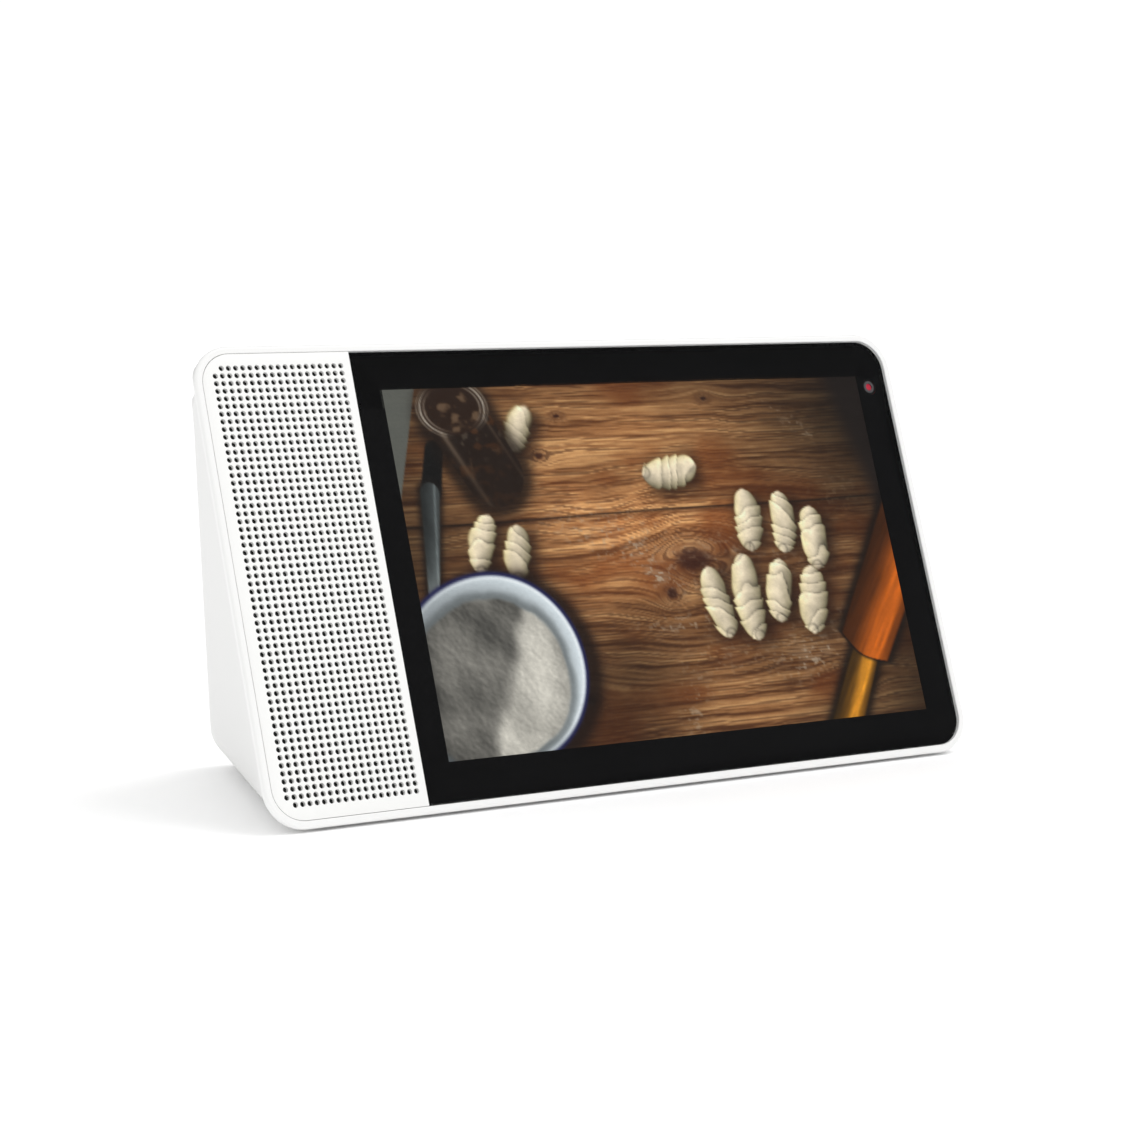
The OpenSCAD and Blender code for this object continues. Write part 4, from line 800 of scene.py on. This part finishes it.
# Rolling pin: a thick barrel of orange wood and a slimmer handle, shaded across as cylinders
def rollingPin(scene, x, y):
    for a, b, ra, rb, tone, seed in [
            ((166.5, 94.0), (146.6, 128.0), 5.4, 6.3, (0.97, 0.64, 0.18), 7),
            ((202.0, 40.5), (165.4, 94.0), 11.6, 10.2, (0.88, 0.43, 0.11), 1)]:
        outside, side, t = thickLine(x, y, a, b, ra, rb)
        length = (x - b[0]) * (b[0] - a[0]) + (y - b[1]) * (b[1] - a[1])
        outside = np.where(length > 0, np.abs(outside + rb) - rb + length / 26, outside)
        scene = layOver(scene, (0.05, 0.03, 0.025), 0.8 * halo(outside, 2.4))
        turned = np.clip(side / ra, -1, 1)
        lit = 0.26 + 0.62 * hump(turned - 0.30, 0.55) + 0.12 * hump(turned - 0.5, 0.12)
        grain = clouds(side / 1.3 + t * 2.2, t * 5 + side * 0.08, 101 + seed, 3)
        lit = lit * (0.76 + 0.48 * grain) * (1 - 0.45 * halo(-outside, 0.5))
        wood = np.clip(lit[..., None] * np.array(tone), 0, 1)
        scene = layOver(scene, wood, 1 - ease(-0.4, 0.5, outside))
    return scene


# The whole painting, from the back forwards: the lit table, its flour, a pale upper left corner, the dark
# at the upper right, then the things on the table, and a fine grain over all
def paintPicture(x, y):
    scene = tableTop(x, y) * tableLight(x, y)[..., None]
    scene = layOver(scene, (0.72, 0.66, 0.58), flourDust(x, y) * tableLight(x, y))
    wedge = 1 - ease(-1.0, 1.0, x * 35.0 / 11.4 + y - 35.0)
    scene = layOver(scene, (0.36, 0.37, 0.35), wedge * 0.95)
    gloom = ease(0, 9, (x - 166.5) - 0.28 * y) * (1 - ease(52, 78, y))
    scene = layOver(scene, (0.10, 0.075, 0.07), 0.88 * gloom)
    scene = tableKnife(scene, x, y)
    scene = doughRoll(scene, x, y, *rolls[0], 1)
    scene = syrupJar(scene, x, y)
    for k, roll in enumerate(rolls[1:]):
        scene = doughRoll(scene, x, y, *roll, k + 2)
    scene = rollingPin(scene, x, y)
    scene = flourBowl(scene, x, y)
    scene = scene * (0.97 + 0.06 * clouds(x / 0.7, y / 0.7, 121, 2))[..., None]
    return np.clip(scene, 0, 1)


# A slab whose front is a grid with one paint value at each point, changed from display to light values
def litPanel():
    wide, high, edge = picture["width"], picture["height"], picture["rim"]
    u = np.concatenate([[-edge], np.linspace(0, wide, picture["columns"] - 1), [wide + edge]])
    v = np.concatenate([[-edge], np.linspace(0, high, picture["rows"] - 1), [high + edge]])
    x, y = np.meshgrid(u, v)
    rows, columns = x.shape
    front = onFace(pictureLeft + x, pictureTop - y, body["seat"])
    count = rows * columns
    index = np.arange(count).reshape(rows, columns)
    brim = np.concatenate([index[0, :-1], index[:-1, -1], index[-1, :0:-1], index[:0:-1, 0]])
    bx, by = x.ravel()[brim], y.ravel()[brim]
    back = onFace(pictureLeft + bx, pictureTop - by, body["seat"] + picture["thick"])
    ring = count + np.arange(len(brim))
    sides = np.stack([brim, ring, np.roll(ring, -1), np.roll(brim, -1)], -1)
    cap = ring[None, ::-1]
    piece = addPiece("screen_picture", np.concatenate([front, back]),
                     [gridFaces(rows, columns, closeColumns=False), sides, cap],
                     stands=("lcd_panel",), slot="screen_panel")
    shown = paintPicture(np.clip(x, 0, wide), np.clip(y, 0, high)).reshape(-1, 3)
    light = np.where(shown < 0.04045, shown / 12.92, ((shown + 0.055) / 1.055) ** 2.4)
    colours = np.ones((len(piece.data.vertices), 4), np.float32) * (0.001, 0.001, 0.001, 1)
    colours[:count, :3] = light
    layer = piece.data.color_attributes.new("paint", "FLOAT_COLOR", "POINT")
    layer.data.foreach_set("color", colours.astype(np.float32).ravel())
    print("screen picture painted:", rows, "by", columns)


litPanel()


# ---- back shell: depth behind the face as a function of x and y
shell = {"ridgeTop": faceTop - 8.4, "ridgeRight": halfWidth - 3.6, "ridge": 5.0, "valley": 14.0,
         "roll": 8.0, "rollSoft": 8.0, "rollEase": 1.2, "rollReach": 12.0, "far": 400.0, "gap": 0.4,
         "arc": 14, "sides": (30, 74, 30, 80), "rings": 50}
topX, rightY = -halfWidth + body["slab"] * sideTan, body["slab"] * baseTan
tip = np.array([-halfWidth + body["cornerDepth"] * sideTan, body["cornerDepth"] * baseTan])
skew = (shell["ridgeTop"] - rightY) / (shell["ridgeRight"] - topX)
slopeUp = (body["cornerDepth"] - body["slab"]) / (skew * (tip[0] - topX) + tip[1] - shell["ridgeTop"])
slopeAcross = slopeUp * skew
slopeBase = body["slab"] - slopeAcross * topX - slopeUp * shell["ridgeTop"]
slopeLength = math.sqrt(1 + slopeAcross ** 2 + slopeUp ** 2)
baseCorner = body["cornerRadius"] / sideTan


# The smaller of two depths, with a round where they meet
def softMin(u, v, r):
    gap = u - v
    near = (u + v - 2 * r + np.sqrt(np.maximum(2 * r * r - gap * gap, 0))) / 2
    return np.where(np.abs(gap) >= r, np.minimum(u, v), near)


# Depth is the smallest of the left side, the base, the sloping back and the slab, each a plane moved
# in by t, and of a quarter-ellipse roll at the top and right edges
def shellDepth(x, y, t):
    left = (x + halfWidth) / sideTan - t / sideSin
    base = y / baseTan - t / sinLean
    slope = slopeBase + slopeAcross * x + slopeUp * y - t * slopeLength
    thin = -softMin(t - body["slab"], -slope, shell["valley"])
    r = body["cornerRadius"] - t
    qx = np.abs(x) - (halfWidth - body["cornerRadius"])
    qy = np.abs(y - faceTop / 2) - (faceTop / 2 - body["cornerRadius"])
    inside = r - np.hypot(np.maximum(qx, 0), np.maximum(qy, 0)) - np.minimum(np.maximum(qx, qy), 0)
    bend = np.sqrt(1 - (1 - np.clip(inside / shell["roll"], 0, 1)) ** 2)
    edge = body["frameDepth"] + (body["slab"] - body["frameDepth"] - t) * bend
    edge = edge + 3 * np.maximum(inside - shell["roll"], 0)
    nearEdge = np.minimum(halfWidth - x, faceTop - y) < shell["rollReach"]
    edge = np.where(nearEdge, edge, shell["far"])
    sides = softMin(left, base, baseCorner)
    soft = np.clip(shell["rollEase"] * (np.minimum(edge, sides) - body["frameDepth"]), 0, shell["rollSoft"])
    whole = np.minimum(softMin(edge, sides, soft), softMin(sides, thin, shell["ridge"]))
    return np.maximum(body["frameDepth"], whole)


# Points round the shell's front edge, t inside it: each corner's arc, then the side after it
def shellEdge(t):
    r = body["cornerRadius"] - shell["gap"] - t
    low = np.array([-halfWidth + body["frameDepth"] * sideTan, body["frameDepth"] * baseTan]) + t + r
    high = np.array([halfWidth, faceTop]) - shell["gap"] - t - r
    centres = [np.array(c) for c in ((high[0], low[1]), tuple(high), (low[0], high[1]), tuple(low))]
    parts = []
    for k in range(4):
        turn = np.radians(90 * (k - 1 + np.arange(shell["arc"]) / shell["arc"]))
        parts.append(centres[k] + r * np.stack([np.cos(turn), np.sin(turn)], -1))
        out = r * np.array([round(math.cos(math.radians(90 * k))), round(math.sin(math.radians(90 * k)))])
        start, end = centres[k] + out, centres[(k + 1) % 4] + out
        share = np.arange(shell["sides"][k])[:, None] / shell["sides"][k]
        parts.append(start + (end - start) * share)
    return np.concatenate(parts)


# The skin t inside: rings of points that close in from the edge to the tip, each at its shell depth
def shellSkin(t):
    rim, rows = shellEdge(t), shell["rings"]
    share = (1 - np.cos(math.pi * np.arange(1, rows + 1) / rows)) / 2
    flat = tip + (rim[None] - tip) * share[:, None, None]
    depth = shellDepth(flat[..., 0], flat[..., 1], t)
    depth[-1] = body["frameDepth"]
    points = onFace(flat[..., 0], flat[..., 1], depth)
    peak = onFace(tip[0], tip[1], shellDepth(tip[:1], tip[1:], t)[0])
    return np.concatenate([points, peak]), len(rim)


def pill(length, width, steps=10):
    return lambda inset: roundedOutline((-length / 2, -width / 2), (length / 2, width / 2),
                                        (width / 2,) * 4, inset, steps)


def closedFan(peak, ring):
    return np.stack([np.full(len(ring), peak), ring, np.roll(ring, -1)], -1)


controls = {"buttonLength": 14.0, "buttonWidth": 3.0, "buttonXs": (63.6, 85.6), "buttonRound": 0.55,
            "buttonProud": 0.2, "flange": 0.15, "flangeDown": 5.8, "stemDown": 7.0, "knobLength": 6.0,
            "knobWidth": 2.2, "knobRound": 0.45, "knobBase": 127.0, "shutterY": 128.35,
            "shutterTravel": 5.0, "muteY": 101.35, "muteTravel": 2.0, "clear": 0.2, "flat": 0.1}
inlet = {"x": -16.0, "height": 15.0, "width": 10.8}
holes = {"micXs": (-40.0, 20.0), "micDepth": 4.1, "mic": 1.2, "screw": 2.4, "long": 0.01}


# A round hole's outline, a hair longer than wide so that none of its sides has no length
def roundHole(width, steps=10):
    return pill(width + holes["long"], width, steps)


def backShell():
    skins = [shellSkin(0.0), shellSkin(body["wall"])]
    n, rows, count = skins[0][1], shell["rings"], len(skins[0][0])
    points = np.concatenate([skins[0][0], skins[1][0]])
    lipOuter, lipInner = (rows - 1) * n + np.arange(n), count + (rows - 1) * n + np.arange(n)
    lip = np.stack([lipOuter, np.roll(lipOuter, -1), np.roll(lipInner, -1), lipInner], -1)
    fans = np.concatenate([closedFan(count - 1, np.arange(n)),
                           closedFan(2 * count - 1, count + np.arange(n))])
    groups = [gridFaces(rows, n), gridFaces(rows, n, first=count), lip, fans]
    piece = addPiece("back_cover", points, groups, stands=("back_shell",), slot="white_shell")

    c, depth = controls, body["controlDepth"]
    room = 2 * c["clear"]
    buttonSlot = pill(c["buttonLength"] + room, c["buttonWidth"] + room)
    cuts = [(buttonSlot, throughTop(x, depth), faceTop - 8, faceTop + 4) for x in c["buttonXs"]]
    for middle, travel in ((c["shutterY"] - c["shutterTravel"] / 2, c["shutterTravel"]),
                           (c["muteY"], c["muteTravel"])):
        knobSlot = pill(c["knobLength"] + travel + room, c["knobWidth"] + room)
        cuts.append((knobSlot, throughSide(middle, depth), halfWidth - 8, halfWidth + 4))
    for x in holes["micXs"]:
        cuts.append((roundHole(holes["mic"], 4), throughTop(x, holes["micDepth"]), faceTop - 4, faceTop + 4))
    inletLow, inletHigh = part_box("dc_inlet")
    inletY = 1000 * (inletLow.y + inletHigh.y) / 2
    turn = inletTurn()
    cuts.append((roundHole(inlet["width"]), lambda u, v, h: np.stack([
        inlet["x"] + u * math.cos(turn) + h * math.sin(turn),
        inletY - u * math.sin(turn) + h * math.cos(turn), inlet["height"] + v], -1), -20, 20))
    for low, high in screwBoxes():
        x, y = 1000 * (low.x + high.x) / 2, 1000 * (low.y + high.y) / 2
        upright = lambda u, v, h, x=x, y=y: np.stack([x + u, y + v, h], -1)
        cuts.append((roundHole(holes["screw"]), upright, -1, 20))
    cutter = addPiece("cover_cutter", *joined(
        stackOutlines(outline, [(0, low), (0, high)], place) for outline, place, low, high in cuts))
    cut = piece.modifiers.new("openings", "BOOLEAN")
    cut.operation, cut.solver, cut.object = "DIFFERENCE", "EXACT", cutter
    made = bpy.data.meshes.new_from_object(piece.evaluated_get(bpy.context.evaluated_depsgraph_get()))
    piece.modifiers.clear()
    piece.data = made
    bpy.data.objects.remove(cutter)
    bm = bmesh.new()
    bm.from_mesh(made)
    finishMesh(bm, made, 32)
    dress(piece, "white_shell")
    print("back cover made:", len(made.polygons), "faces")


# How far the inlet turns off straight back, so that it meets the sloping face squarely in plan
def inletTurn():
    return math.atan2(-slopeAcross, cosLean - slopeUp * sinLean)


# Lowest and highest corner of each base screw, split out of their shared node
def screwBoxes():
    mesh = frame["nodes"]["shell_screws"].data
    spots = np.zeros(len(mesh.vertices) * 3)
    mesh.vertices.foreach_get("co", spots)
    spots = spots.reshape(-1, 3)
    order = np.argsort(spots[:, 0])
    gaps = np.flatnonzero(np.diff(spots[order, 0]) > 0.01)
    return [(Vector(p.min(0)), Vector(p.max(0))) for p in np.split(spots[order], gaps + 1)]


backShell()


# ---- buttons and slide knobs, rounded at their ends
# A control's cap: the levels of its stem, a quarter round of radius r, and a flat top
def controlCap(name, outline, stem, top, r, place, rides, node):
    crown = [(t, top - d) for t, d in quarterRound(r, 5)]
    stackedSolid(name, outline, stem + crown + [(r + controls["flat"], top)], place,
                 rides=rides, stands=(node,), slot="white_knob")


def volumeButton(name, x, rides, node):
    c = controls
    shoulder = faceTop - c["flangeDown"]
    stem = [(-c["flange"], faceTop - c["stemDown"]), (-c["flange"], shoulder), (0.0, shoulder)]
    controlCap(name, pill(c["buttonLength"], c["buttonWidth"], 12), stem, faceTop + c["buttonProud"],
               c["buttonRound"], throughTop(x, body["controlDepth"]), rides, node)


def slideKnob(name, y, rides, node):
    c = controls
    controlCap(name, pill(c["knobLength"], c["knobWidth"], 12), [(0.0, c["knobBase"])], halfWidth,
               c["knobRound"], throughSide(y, body["controlDepth"]), rides, node)


volumeButton("volume_up_cap", controls["buttonXs"][1], "volume_up", "volume_up_button")
volumeButton("volume_down_cap", controls["buttonXs"][0], "volume_down", "volume_down_button")
slideKnob("shutter_slider", controls["shutterY"], "camera_shutter", "shutter_knob")
slideKnob("mute_slider", controls["muteY"] - controls["muteTravel"] / 2, "mute_switch", "mute_knob")
print("controls made")


# ---- camera trim ring, rounded, with a dark flange round it
ring = {"fromRight": 9.7, "fromTop": 18.65, "hole": 1.2, "outer": 2.1, "flange": 2.8, "round": 0.06,
        "thick": 0.15, "steps": 48}
cameraSpot = np.array([halfWidth - ring["fromRight"], faceTop - ring["fromTop"]])


def ringOutline(radius):
    a = np.linspace(0, 2 * math.pi, ring["steps"], endpoint=False)
    return cameraSpot + radius * np.stack([np.cos(a), np.sin(a)], -1)


front, seat = body["glassBack"], body["seat"]
hole, outer, flange, soft = ring["hole"], ring["outer"], ring["flange"], ring["round"]
trimRing = stackedSolid("camera_trim_ring", ringOutline, [
    (hole, seat + ring["thick"]), (hole, front + soft), (hole + soft, front), (outer - soft, front),
    (outer, front + soft), (outer, seat), (flange, seat), (flange, seat + ring["thick"])],
    onFace, closed=True, stands=("camera_ring",), slot="ring_grey")


# Painted ring: grey inside the step and black on the flange, by distance from the camera's axis
def ringPaint():
    f = Finish("ringPaint")
    middle = onFace(cameraSpot[0], cameraSpot[1], 0)[0]
    off = f.put("ShaderNodeVectorMath", {"operation": "SUBTRACT"}, {0: f.place(), 1: tuple(middle)})
    axis = f.put("ShaderNodeVectorMath", {"operation": "CROSS_PRODUCT"}, {0: off, 1: (0, -cosLean, sinLean)})
    away = f.put("ShaderNodeVectorMath", {"operation": "LENGTH"}, {0: axis}, "Value")
    dark = ((away - ring["outer"]) * 20 + 0.5).clipped()
    fine = f.noise(f.place(), 4.0)
    grey = f.blend(fine, (0.085, 0.075, 0.08, 1), (0.12, 0.105, 0.11, 1))
    tone = f.blend(dark, grey, (0.006, 0.006, 0.006, 1))
    return f.output(f.shine(tone, fine * 0.1 + 0.35, f.bump(fine, 0.2, 0.000003), Specular_IOR_Level=0.12))


trimRing.data.materials[0] = ringPaint()
print("camera ring made")


# ---- floor, lights, world and camera
studio = {"floor": 0.97, "floorGlow": 0.03, "world": 0.97, "mirrorWorld": 0.075, "backdrop": 1.05,
          "sun": 0.75, "sunSide": (0.842, -0.54), "sunHigh": 60.0, "sunSoft": 38.0}
view = {"place": (-0.4902, -0.7713, 0.1654), "toward": (0.5365, 0.8371, -0.1074), "lens": 90, "sensor": 36}


def studioFloor():
    bpy.ops.mesh.primitive_plane_add(size=60, location=(0, 0, 0))
    floor = bpy.context.object
    floor.name = "floor"
    f = Finish("floorPaper")
    fibre = f.noise(f.place((0.02, 0.02, 0.02)), 1.0, 2.0)
    tone = f.blend(fibre, rgba((1, 1, 1), studio["floor"]), rgba((1, 1, 1), studio["floor"] * 1.01))
    floor.data.materials.append(f.output(f.shine(
        tone, 0.9, Specular_IOR_Level=0.0, Emission_Color=(1, 1, 1, 1),
        Emission_Strength=studio["floorGlow"])))


# A large far lamp at the right and in front, so that the soft shadow falls to the left
def keyLight():
    lamp = bpy.data.lights.new("keyLight", "SUN")
    lamp.energy, lamp.angle = studio["sun"], math.radians(studio["sunSoft"])
    high = math.radians(studio["sunHigh"])
    toward = Vector((*[s * math.cos(high) for s in studio["sunSide"]], math.sin(high)))
    holder = bpy.data.objects.new("keyLight", lamp)
    holder.location = toward * 2
    holder.rotation_mode = "QUATERNION"
    holder.rotation_quaternion = (-toward).to_track_quat("-Z", "Y")
    bpy.context.scene.collection.objects.link(holder)


# White for the camera and for soft light; mirrors see a dim room, as behind the camera of a studio
def studioWorld():
    f = Finish("studio", "worlds")
    plain, dim, backdrop = [
        f.put("ShaderNodeBackground", None, {"Color": (1, 1, 1, 1), "Strength": studio[key]})
        for key in ("world", "mirrorWorld", "backdrop")]
    glossy, seen = [f.put("ShaderNodeLightPath", out=ray) for ray in ("Is Glossy Ray", "Is Camera Ray")]
    lit = f.put("ShaderNodeMixShader", None, {0: glossy, 1: plain, 2: dim})
    shown = f.put("ShaderNodeMixShader", None, {0: seen, 1: lit, 2: backdrop})
    f.put("ShaderNodeOutputWorld", None, {"Surface": shown})
    bpy.context.scene.world = f.made


def viewCamera():
    lens = bpy.data.cameras.new("view")
    lens.lens, lens.sensor_width = view["lens"], view["sensor"]
    lens.clip_start, lens.clip_end = 0.05, 100
    camera = bpy.data.objects.new("view", lens)
    camera.location = view["place"]
    camera.rotation_mode = "QUATERNION"
    camera.rotation_quaternion = Vector(view["toward"]).to_track_quat("-Z", "Y")
    bpy.context.scene.collection.objects.link(camera)
    bpy.context.scene.camera = camera


studioFloor()
keyLight()
studioWorld()
viewCamera()
bpy.context.scene.view_settings.view_transform = "Standard"
print("studio ready")
